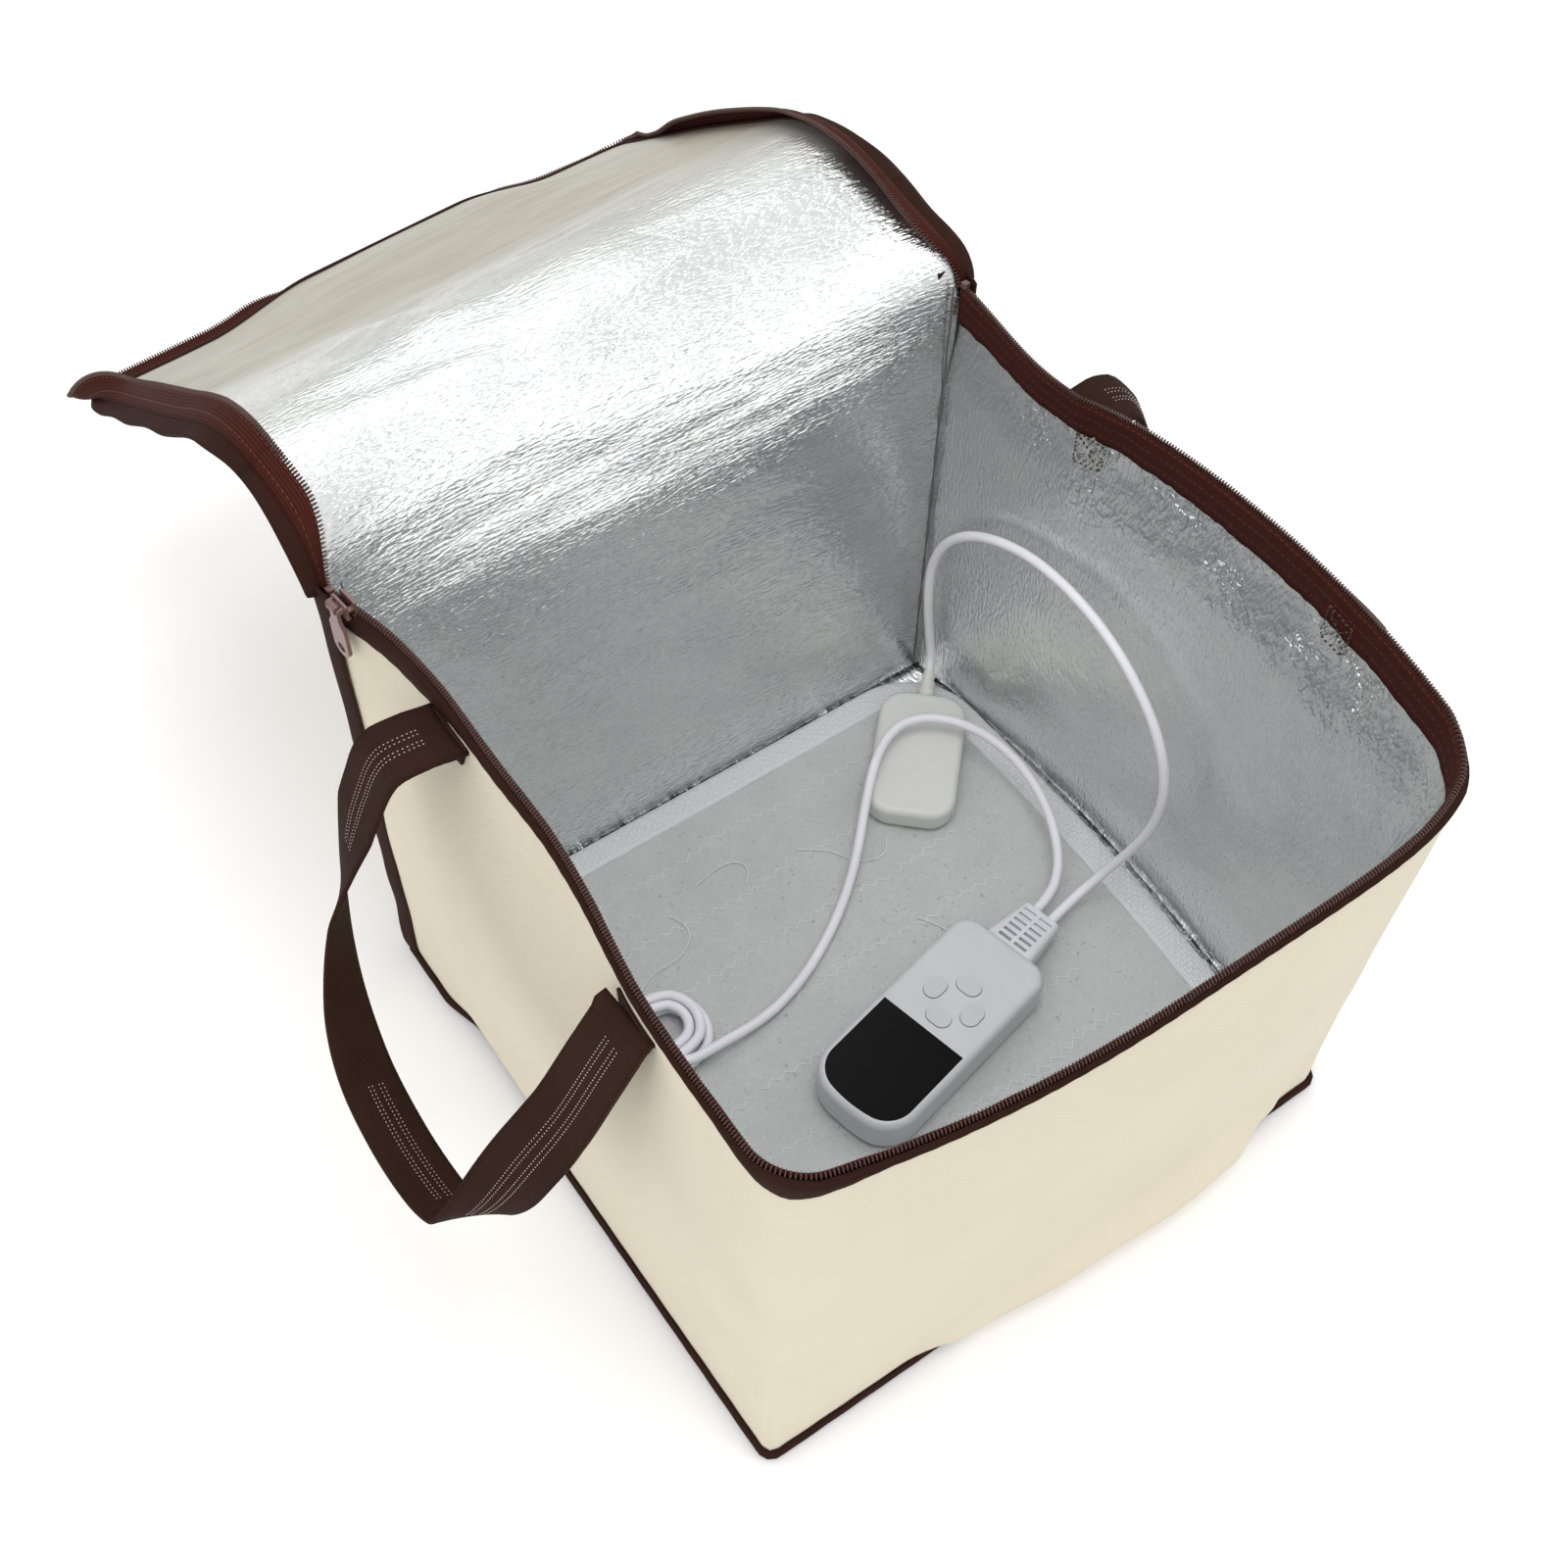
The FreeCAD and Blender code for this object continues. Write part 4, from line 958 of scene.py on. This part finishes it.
# rim of the body: tape inside the cream edge, coil on top, binding outside
rim = {
    "inset": 1.7,
    "tapeLow": 275.5,
    "tapeHigh": 296.2,
    "tapeThick": 1.0,
    "tapeGrid": (330, 6),
    "bandLap": 1.2,                 # how far the binding reaches down over the cream cloth
    "bandHigh": 295.7,
    "bandFlat": 10.0,
    "bandThick": 0.7,
    "bandGrid": (330, 8),
    "toothZ": 296.9,
    "pitch": 1.55,
    "tooth": (0.4, 1.7, 1.6),
    "chainEnd": 0.003,
}


def frameAt(t, inset, z):
    step = 0.002
    before = wallPoint(max(t - step, 0), inset, z)
    along = (wallPoint(min(t + step, 1), inset, z) - before).normalized()
    return wallPoint(t, inset, z), along, along.cross(Vector((0, 0, 1))).normalized()


def makeRim():
    long = bag["round"]
    tapeWide = rim["tapeHigh"] - rim["tapeLow"]

    def tapePlace(u, v):
        z = rim["tapeLow"] + tapeWide * v + ripple((u * long, 0, 7), 5, 1.3) * (1 - v)
        return wallPoint(u, rim["inset"] + 0.5 + ripple((u * long, 0, 3), 12, 0.4), z)

    bm = sheetOf(*rim["tapeGrid"], (long, tapeWide), tapePlace, rim["tapeThick"])
    finishPiece(bm, "zipTape", "zipTape", "bag", ("zip_tape",))

    def bandPlace(u, v):
        low = creamTop(u) - rim["bandLap"]
        bulge = math.sin(math.pi * (0.15 + 0.75 * v))
        z = low + (rim["bandHigh"] - low) * v
        out = -0.3 - 1.3 * bulge + 1.2 * rise(v, 0.75, 0.25)
        return wallPoint(u, out, z + 0.25 * math.sin(u * 600))

    bm = sheetOf(*rim["bandGrid"], (long, rim["bandFlat"]), bandPlace, rim["bandThick"])
    finishPiece(bm, "rimBinding", "binding", "bag", ("rim_binding",))
    teeth = bmesh.new()
    beads = []
    count = int(long / rim["pitch"])
    for i in range(count):
        t = rim["chainEnd"] + (1 - 2 * rim["chainEnd"]) * i / (count - 1)
        place, along, out = frameAt(t, rim["inset"], rim["toothZ"])
        beads.append(bead(place, along, out, Vector((0, 0, 1)), rim["tooth"]))
    beadsInto(teeth, beads)
    finishPiece(teeth, "zipTeeth", "teeth", "bag", ("zip_chain",))


makeRim()


# brown tape round the base and up the two rear seams, foil seams and floor inside, cream base
trim = {
    "hem": 8.0,
    "hemFrom": 0.5,
    "backHalf": 172.6,
    "backY": 170.0,
    "thick": 0.8,
    "seamLow": 6.0,
    "seamTop": 300.0,
    # across a rear seam's binding, from the side round to the back
    "seamSection": [(172.4, 156.5), (173.4, 160.0), (173.9, 166.0), (173.4, 170.4), (171.2, 171.8),
                    (162.0, 171.4)],
    "lineFrom": (164.6, 162.2, 14.0),
    "lineHigh": 284.0,
    "lineThick": 0.3,
    "footRound": 1005.7,            # round the walls at their foot
    "footEnds": (-165.0, 163.0),
    "floorHalf": 163.0,
    "floorLeft": -165.8,
    "floorInset": 5.8,              # from the right wall's foot
    "floorZ": 6.6,
    "floorFlat": (332.0, 326.0),
    "baseFrom": -169.4,
    "baseDeep": 338.8,
    "baseFlat": (344.0, 340.0),
    "baseThick": 1.0,
}


def makeTrim():
    bm = bmesh.new()

    def hemPlace(u, v):
        out = -0.4 - 2.6 * math.sin(math.pi * (0.12 + 0.8 * v))
        z = trim["hemFrom"] + trim["hem"] * v + 0.4 * math.sin(u * 300)
        return wallPoint(u, out, z, slack=0.0)

    def backHem(u, v):
        out = 0.4 + 2.4 * math.sin(math.pi * (0.12 + 0.8 * v))
        x = trim["backHalf"] * (1 - 2 * u)
        return Vector((x, trim["backY"] + out, trim["hemFrom"] + trim["hem"] * v))

    sheetInto(bm, 240, 6, (bag["round"], trim["hem"]), hemPlace)
    sheetInto(bm, 60, 6, (2 * bag["half"], trim["hem"]), backHem)
    thicken(bm, trim["thick"])
    finishPiece(bm, "baseBinding", "binding", "bag", ("base_binding",))
    bm = bmesh.new()
    section, sectionLength = through(trim["seamSection"])
    seamHigh = trim["seamTop"] - trim["seamLow"]
    for side in (-1, 1):
        def seamPlace(u, v, side=side):
            z = trim["seamLow"] + seamHigh * u
            spot = section(sectionLength * (v if side > 0 else 1 - v))
            wave = 0.5 * math.sin(z / 9) + ripple((z, side * 9, 0), 30, 1.2)
            return Vector((side * (spot.x + wave * 0.4), spot.y + wave * 0.5, z))

        sheetInto(bm, 90, 12, (seamHigh, 26), seamPlace)
    thicken(bm, trim["thick"])
    finishPiece(bm, "rearSeamBindings", "binding", "bag", ("rear_seam_bindings",))
    bm = bmesh.new()
    lineX, lineY, lineZ = trim["lineFrom"]
    for side in (-1, 1):
        def linePlace(u, v, side=side):
            y = lineY + 0.5 * v + 0.3 * math.sin(u * 60)
            return Vector((side * (lineX - 0.9 * v), y, lineZ + trim["lineHigh"] * u))

        sheetInto(bm, 60, 1, (trim["lineHigh"], 1), linePlace)
    thicken(bm, trim["lineThick"])
    finishPiece(bm, "foilSeams", "seam", "bag")

    def footX(y, side):
        t = (bag["rear"] - clamp(y, *trim["footEnds"])) / trim["footRound"]
        return wallPoint(t if side < 0 else 1 - t, 0.6, 1.0, slack=0.0).x

    def floorPlace(u, v):
        y = trim["floorHalf"] * (2 * v - 1)
        left = trim["floorLeft"]
        x = left + (footX(y, 1) - trim["floorInset"] - left) * u
        edge = ease((max(abs(x - 4) - 162, abs(y) - 153)) / 10)
        return Vector((x, y, trim["floorZ"] + 1.6 * edge + ripple((x, y, 0), 21, 0.5)))

    bm = sheetOf(70, 70, trim["floorFlat"], floorPlace, liner["thick"])
    finishPiece(bm, "foilFloor", "foilWall", "bag", ("liner_base", "foam_base"))

    def basePlace(u, v):
        y = trim["baseFrom"] + trim["baseDeep"] * v
        right, left = footX(y, 1), footX(y, -1)
        uneven = abs(noise.noise(Vector((u * 9, v * 9, 0))))
        return Vector((right + (left - right) * u, y, 0.2 + 0.2 * uneven))

    bm = sheetOf(40, 40, trim["baseFlat"], basePlace, trim["baseThick"])
    finishPiece(bm, "creamBase", "cream", "bag", ("outer_base",))


makeTrim()


# carry straps: flat webbing whose legs twist towards the fold at the bottom
strap = {
    "wide": 31.0,
    "thick": 1.8,
    "cup": 0.9,
    "left": [(-161, 79, 284), (-166, 79, 285), (-177, 79.5, 287), (-192, 82, 283), (-202, 86, 260),
             (-213, 87, 231), (-227, 80, 200), (-239, 63, 168), (-247, 36, 149), (-250, 3, 140.5),
             (-249.5, -28, 138.5), (-247, -46, 143), (-243, -55, 156), (-235.5, -61, 173),
             (-222, -66, 198.5), (-204.5, -70.5, 227), (-190.5, -75, 259), (-179.5, -77.5, 281.5),
             (-176, -76.5, 284.5), (-172, -76, 284)],
    "right": [(176, 73, 282), (182, 73, 283), (190, 73, 283), (199, 72, 278.5), (206.5, 68.5, 266),
              (213, 66, 247), (222, 67, 224), (235, 68, 199), (252, 57, 170), (265, 31, 151),
              (271, 2, 143), (272, -28, 141), (269, -46, 146), (262, -58, 158), (250, -65, 176),
              (235, -71, 200), (222, -76, 227), (209, -80, 257), (199, -83, 279.5),
              (193, -82.5, 284), (188.5, -82, 284)],
    # share of the length and the turn of the webbing, from along the wall
    "twist": [(0.0, 0), (0.16, 4), (0.27, 42), (0.42, 70), (0.56, 88), (0.64, 97), (0.73, 136),
              (0.84, 172), (1.0, 180)],
    "twistRight": [(0.0, 0), (0.04, -4), (0.1, -26), (0.16, -20), (0.24, 12), (0.33, 46), (0.42, 70),
                   (0.56, 88), (0.64, 97), (0.73, 136), (0.84, 172), (1.0, 180)],
    "lean": (0.848, 0.53),
    "stitched": [(0.03, 0.2), (0.46, 0.6), (0.66, 0.97)],
    "stitchRows": (-4.8, -2.6, 1.2, 3.2),
    "stitchPitch": 1.95,
    "stitchLift": 0.92,
    "stitch": (0.46, 0.25, 0.2),
    # sewn ends: side, place along the wall and height of the crossed thread
    "ends": [(-1, 79.0, 267.0), (-1, -76.0, 270.0), (1, *liner["puckers"][0]),
             (1, *liner["puckers"][1])],
    "endTop": 285.0,
    "endHigh": 13.0,
    "endThick": 1.4,
    "cross": [(-8, 8), (8, 10), (7, -9), (-8, -8)],
    "crossPitch": 2.6,
    "crossStitch": (0.95, 0.28, 0.7),
    "leftFrom": (-166.0, 7.0, 284.0),   # points where the webbing leaves the wall; read, but nothing uses them
    "leftTo": (-204.0, 7.0, 268.0),
    "rightFrom": (183.0, 7.0, 284.0),
    "rightTo": (221.0, 7.0, 268.0),
}


def twistAt(points, share):
    for (s0, a0), (s1, a1) in zip(points, points[1:]):
        if share <= s1:
            return math.radians(a0 + (a1 - a0) * clamp((share - s0) / (s1 - s0)))
    return math.pi


def makeStrap(name, side, node):
    run, length = through(strap["left" if side < 0 else "right"])
    normal = Vector((side * strap["lean"][0], 0, strap["lean"][1]))

    def frameOf(share):
        step = 0.006
        spot = run(share * length)
        before = run(max(share - step, 0) * length)
        along = (run(min(share + step, 1) * length) - before).normalized()
        turn = twistAt(strap["twist" if side < 0 else "twistRight"], share)
        wide = Vector((0, -1, 0)) * math.cos(turn) + normal * math.sin(turn)
        wide = (wide - along * wide.dot(along)).normalized()
        return spot, along, wide, wide.cross(along).normalized()

    def cupAt(row):
        return strap["cup"] * (1 - row ** 2)

    def place(u, v):
        spot, along, wide, face = frameOf(u)
        high = cupAt(2 * v - 1) - strap["thick"] / 2
        return spot + wide * (strap["wide"] * (v - 0.5)) + face * high

    bm = sheetOf(120, 8, (length, strap["wide"]), place, strap["thick"])
    stitches = bmesh.new()
    beads = []
    for start, end in strap["stitched"]:
        count = int((end - start) * length / strap["stitchPitch"])
        for i in range(count):
            spot, along, wide, face = frameOf(start + (end - start) * i / count)
            for row in strap["stitchRows"]:
                for lift in (strap["stitchLift"], -strap["stitchLift"]):
                    high = cupAt(row / (strap["wide"] / 2)) + lift
                    spotOn = spot + wide * row + face * high
                    beads.append(bead(spotOn, along, wide, face, strap["stitch"]))
    beadsInto(stitches, beads)
    made = [
        finishPiece(bm, name, "webbing"),
        finishPiece(stitches, name + "Stitches", "paleThread"),
    ]
    ends = ("leftFrom", "leftTo") if side < 0 else ("rightFrom", "rightTo")
    near, far = (Vector(strap[key]) * mm for key in ends)
    for piece in made:
        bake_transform(piece)
    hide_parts(node)


def makeStrapEnds():
    # sewn ends tucked under the rim, and the crossed thread that shows through the foil
    bm, inside = bmesh.new(), bmesh.new()
    beads = []
    corner = bag["rimCorner"]
    sides = 2 * (bag["rear"] - bag["front"] - corner)
    whole = sides + corner * math.pi + 2 * (bag["half"] - corner)
    cross = strap["cross"]
    runs = [(cross[i], cross[(i + 1) % 4]) for i in range(4)]
    runs += [(cross[0], cross[2]), (cross[1], cross[3])]
    acrossWall = Vector((1, 0, 0))
    for side, y, level in strap["ends"]:
        def spotAt(dy, z, inset, y=y, side=side):
            t = (bag["rear"] - (y + dy)) / whole
            return wallPoint(t if side < 0 else 1 - t, inset, z)

        def place(u, v, side=side, spotAt=spotAt):
            z = strap["endTop"] - strap["endHigh"] * v
            off = side * strap["wide"] * (0.5 - u) * (0.9 - 0.25 * v)
            return spotAt(off, z, -1.5 - 0.4 * (1 - (2 * u - 1) ** 2))

        sheetInto(bm, 10, 6, (strap["wide"], strap["endHigh"]), place)
        for first, second in runs:
            count = int(math.dist(first, second) / strap["crossPitch"])
            step = Vector(second) - Vector(first)
            way = Vector((0, step.x, step.y)).normalized()
            for i in range(count):
                dy, dz = Vector(first).lerp(Vector(second), (i + 0.5) / count)
                jitter = 1.2 * noise.noise(Vector((dy + y, dz, side * 3)) / 3)
                z = level + dz - jitter
                spot = spotAt(dy + jitter, z, liningInset(z) + (0.4 if side < 0 else 2.2))
                beads.append(bead(spot, way, way.cross(acrossWall), acrossWall, strap["crossStitch"]))
    beadsInto(inside, beads)
    thicken(bm, strap["endThick"])
    finishPiece(bm, "strapEnds", "webbing", "bag", ("strap_ends",))
    finishPiece(inside, "foilCrossStitches", "darkThread", "bag")


makeStrap("strapLeft", -1, "strap_left")
makeStrap("strapRight", 1, "strap_right")
makeStrapEnds()


# heating mat: felt pad with sewn wire runs, white tape round its edge
mat = {
    "felt": (301.0, 297.0),
    "feltGrid": (110, 108),
    "top": 13.1,
    "under": 7.6,
    "unevenness": (24.0, 0.5),      # size and depth
    "tapeHalf": (163.2, 161.0),
    "tapeCorner": 42.0,
    # out from the mat's edge and up, across the tape
    "tapeSection": [(-17.0, 13.0), (-16.2, 13.45), (-9.0, 13.7), (-2.5, 13.4), (-0.5, 12.2),
                    (0.0, 10.5), (-0.6, 8.2)],
    "tapeFlat": (1180.0, 22.0),
    "tapeGrid": (300, 14),
    "tapeThick": 0.5,
    "rows": 8,
    "rowFrom": -122.0,
    "rowPitch": 34.86,
    "rowHalf": 117.0,
    "zigzag": (4.2, 2.4),
    "thread": 0.32,
    # loose ends of thread
    "strays": [
        [(-96, 60), (-84, 72), (-60, 70), (-44, 84), (-52, 96)],
        [(30, 92), (44, 84), (52, 66), (70, 60), (76, 72)],
        [(58, 20), (70, 2), (64, -14), (80, -22)],
        [(-30, 104), (-8, 110), (4, 98), (-6, 90)],
        [(-120, -60), (-98, -74), (-90, -58)],
    ],
    "strayLift": 0.7,
}


def loopFlat(t, halfX, halfY, radius):
    # place and outward way round a rectangle with round corners, from its front left corner
    sides = [(halfX - radius) * 2, (halfY - radius) * 2] * 2
    arc = radius * math.pi / 2
    run = (t % 1.0) * (sum(sides) + 4 * arc)
    way = Vector((1, 0))
    place = Vector((-(halfX - radius), -halfY))
    for side in sides:
        out = Vector((way.y, -way.x))
        if run <= side:
            return place + way * run, out
        place = place + way * side
        run -= side
        if run <= arc:
            angle = run / radius
            turned = out * math.cos(angle) + way * math.sin(angle)
            return place - out * radius + turned * radius, turned
        place = place - out * radius + way * radius
        run -= arc
        way = Vector((-way.y, way.x))
    return place, Vector((0, -1))


def matSpread(x, y):
    # the mat's right side follows the swell of the wall
    return x + 10.5 * (1 - ((y - 35) / 190) ** 2) * rise(x, 60, 100)


def addThread(threads, kind, places):
    spline = threads.splines.new(kind)
    spline.points.add(len(places) - 1)
    for point, (x, y, z) in zip(spline.points, places):
        point.co = (x * mm, y * mm, z * mm, 1)
    return spline


def makeMatStitches():
    # zigzag rows over the heating wire, and loose ends
    threads = bpy.data.curves.new("threads", "CURVE")
    threads.dimensions = "3D"
    threads.bevel_depth = mat["thread"] * mm
    threads.bevel_resolution = 1
    step, reach = mat["zigzag"]
    for row in range(mat["rows"]):
        y = mat["rowFrom"] + mat["rowPitch"] * row
        places = []
        for i in range(int(2 * mat["rowHalf"] / step)):
            x = -mat["rowHalf"] + step * i
            uneven = 0.6 + 0.8 * abs(noise.noise(Vector((x / 9, row * 7, 0))))
            side = reach * (1 if i % 2 else -1) * uneven
            drift = ripple((x, row * 31, 2), 40, 5.0)
            z = mat["top"] + ripple((x, y + drift, 0), *mat["unevenness"])
            places.append((x, y + side + drift, z))
        addThread(threads, "POLY", places)
    for stray in mat["strays"]:
        z = mat["top"] + mat["strayLift"]
        spline = addThread(threads, "NURBS", [(x, y, z) for x, y in stray])
        spline.order_u = 3
        spline.use_endpoint_u = True
    holder = bpy.data.objects.new("threads", threads)
    mesh = bpy.data.meshes.new_from_object(holder)
    bpy.data.objects.remove(holder)
    piece = bpy.data.objects.new("matStitches", mesh)
    bpy.context.scene.collection.objects.link(piece)
    mesh.materials.clear()
    mesh.materials.append(looks["whiteThread"])
    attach(piece, "bag")
    print("made matStitches", len(mesh.polygons), "faces")


def makeMat():
    wide, deep = mat["felt"]
    pitch = mat["rowPitch"]

    def feltPlace(u, v):
        x, y = wide * (u - 0.5), deep * (v - 0.5)
        edge = max(abs(x) / wide, abs(y) / deep) * 2
        row = lump((y - mat["rowFrom"]) % pitch, pitch / 2, 5) * clamp((1 - edge) * 6)
        uneven = ripple((x, y, 0), *mat["unevenness"]) * clamp((1 - edge) * 5)
        return Vector((matSpread(x, y), y, mat["top"] - 0.25 + uneven - 0.3 * row))

    bm = sheetOf(*mat["feltGrid"], mat["felt"], feltPlace, mat["top"] - mat["under"] - 0.4)
    felts = ("mat_top_felt", "mat_bottom_felt", "mat_heating_wire")
    felt = finishPiece(bm, "matFelt", "felt", "bag", felts)
    halfX, halfY = mat["tapeHalf"]
    section, sectionLength = through(mat["tapeSection"])

    def tapePlace(u, v):
        spot, out = loopFlat(u, halfX, halfY, mat["tapeCorner"])
        off, z = section(sectionLength * v)
        z += 0.25 * math.sin(u * 420) * (1 - v) + ripple((spot.x, spot.y, 4), 18, 0.4) * (1 - v)
        y = spot.y + out.y * off
        return Vector((matSpread(spot.x + out.x * off, y), y, z))

    bm = sheetOf(*mat["tapeGrid"], mat["tapeFlat"], tapePlace)
    bmesh.ops.remove_doubles(bm, verts=bm.verts, dist=0.01)
    thicken(bm, -mat["tapeThick"])
    finishPiece(bm, "matEdgeTape", "lace", "bag", ("mat_edge_tape",))
    makeMatStitches()


makeMat()


# leads, on the routes that the solids take
leads = {
    "diameter": 5.4,
    "heater": [(108.8, -28.15, 25.1), (121, -25.43, 25.1), (134, -24, 28), (146, -25, 36),
               (154, -29, 50), (159, -35, 70), (162, -39, 94), (164, -36, 120), (165.5, -23, 143),
               (166.5, -1, 161), (167, 24, 173), (166.5, 52, 179), (165.5, 80, 178.5),
               (163, 106, 171), (160.5, 127, 158), (158.5, 142, 139), (157.5, 149, 116),
               (157.8, 149.5, 94), (159, 149, 74), (160.5, 148, 58), (161.5, 147, 47),
               (161.3, 145.2, 39.5), (159.37, 142.83, 34.99), (156.92, 140.3, 32.03)],
    "heaterLength": 0.453,
    "mains": [(106.62, -18.4, 25.1), (120.8, -15.23, 25.1), (135, -5, 27.2), (147, 14, 31),
              (154, 38, 36), (155, 64, 39), (149, 89, 40), (136, 107, 40), (119, 115, 40),
              (102, 111, 39), (86, 100, 37), (71, 86, 30), (56, 71, 21.5), (38, 55, 16.8),
              (14, 38, 16.2), (-14, 23, 16.4), (-40, 15, 17), (-61, 13, 19.8), (-78, 12.45, 23),
              (-94, 12.45, 23)],
    "mainsLength": 1.19,
    "coil": (-109.0, 36.0),
    "coilRun": 15.0,
    "coilOuter": 23.55,
    "coilStep": 2.95,
    "coilHigh": 23.0,
    "coilLow": 17.1,
    "halfTurns": 8,                 # half of them in, half of them out
    "pointsPerHalf": 6,
    "layerDrop": (3.75, 0.6),       # in half turns: where it goes down, and over how much
    "tail": [(-150.3, 41.0, 17.1), (-150.5, 48.0, 17.1), (-150.5, 54.95, 17.1)],
}


def coilTurns():
    # in on the upper layer, down, and out on the lower, from a quarter turn on
    points = []
    swell = 1 / math.cos(math.radians(15))
    perHalf, turns = leads["pointsPerHalf"], leads["halfTurns"]
    low, high = leads["coilLow"], leads["coilHigh"]
    for i in range(perHalf // 2, perHalf * turns + 3):
        half = i / perHalf
        angle = math.radians(-90 - 180 * half)
        inward = half if half <= turns / 2 else turns - half
        radius = leads["coilOuter"] - leads["coilStep"] * inward
        z = high - (high - low) * rise(half, *leads["layerDrop"])
        side = round(math.cos(angle), 6)
        straight = leads["coilRun"] * (0 if side == 0 else math.copysign(1, side))
        x = leads["coil"][0] + straight + radius * side * swell
        points.append((x, leads["coil"][1] + radius * math.sin(angle) * swell, z))
    return points


def makeLead(name, points):
    curve = bpy.data.curves.new(name, "CURVE")
    curve.dimensions = "3D"
    curve.bevel_depth = leads["diameter"] / 2 * mm
    curve.bevel_resolution = 4
    curve.use_fill_caps = True
    spline = curve.splines.new("NURBS")
    spline.points.add(len(points) - 1)
    for point, place in zip(spline.points, points):
        point.co = (*[value * mm for value in place], 1)
    spline.order_u = 3
    spline.use_endpoint_u = True
    spline.resolution_u = 5
    curve.materials.append(looks["cord"])
    piece = bpy.data.objects.new(name, curve)
    bpy.context.scene.collection.objects.link(piece)
    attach(piece, "bag")
    return piece


def makeLeads():
    heater = makeLead("heaterLead", leads["heater"])
    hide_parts("heater_lead")
    mains = makeLead("mainsLead", leads["mains"] + coilTurns() + leads["tail"])
    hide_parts("mains_lead", "mains_coil")
    print("leads laid")


makeLeads()


# moulded and metal pieces keep their CAD shape
kept = {
    "case": ["controller_base", "controller_cover"],
    "window": ["controller_window"],
    "board": ["controller_board"],
    "display": ["controller_display"],
    "screw": ["controller_screws"],
    "boot": ["controller_relief"],
    "button": ["button_up", "button_down", "button_plus", "button_minus"],
    "junction": ["junction_base", "junction_cover", "junction_relief"],
    "cutout": ["junction_cutout"],
    "zipMetal": ["zip_slider", "zip_pull", "zip_end_stops"],
    "tie": ["coil_tie"],
    "plug": ["plug_body"],
    "brass": ["plug_blades"],
}


def dressKept():
    for look, names in kept.items():
        for name in names:
            mesh = nodes[name].data
            mesh.materials.clear()
            mesh.materials.append(looks[look])
    print("kept", sum(len(names) for names in kept.values()), "CAD nodes")


dressKept()


def makeFloor():
    bm = bmesh.new()
    bmesh.ops.create_grid(bm, x_segments=1, y_segments=1, size=studio["floor"])
    mesh = bpy.data.meshes.new("floor")
    bm.to_mesh(mesh)
    bm.free()
    floor = bpy.data.objects.new("floor", mesh)
    floor.location.z = -0.0005
    look = Look("paleFloor")
    tone = look.cloud(look.solid(), 3.0, 2.0)
    gone = look.node("ShaderNodeVectorMath", {"operation": "LENGTH"}, {0: look.solid()})[1]
    colour = look.tint(tone, shade(246, 246, 246), shade(250, 250, 250))
    beyond = look.ramp(gone / 3.0, [(0.417, 0.0), (0.533, 1.0)])
    colour = look.tint(beyond, colour, shade(176, 172, 158))
    mesh.materials.append(look.wear(Base_Color=colour, Roughness=0.7 + tone * 0.1))
    bpy.context.scene.collection.objects.link(floor)


setCamera()
addLights()
makeFloor()
print("scene done")
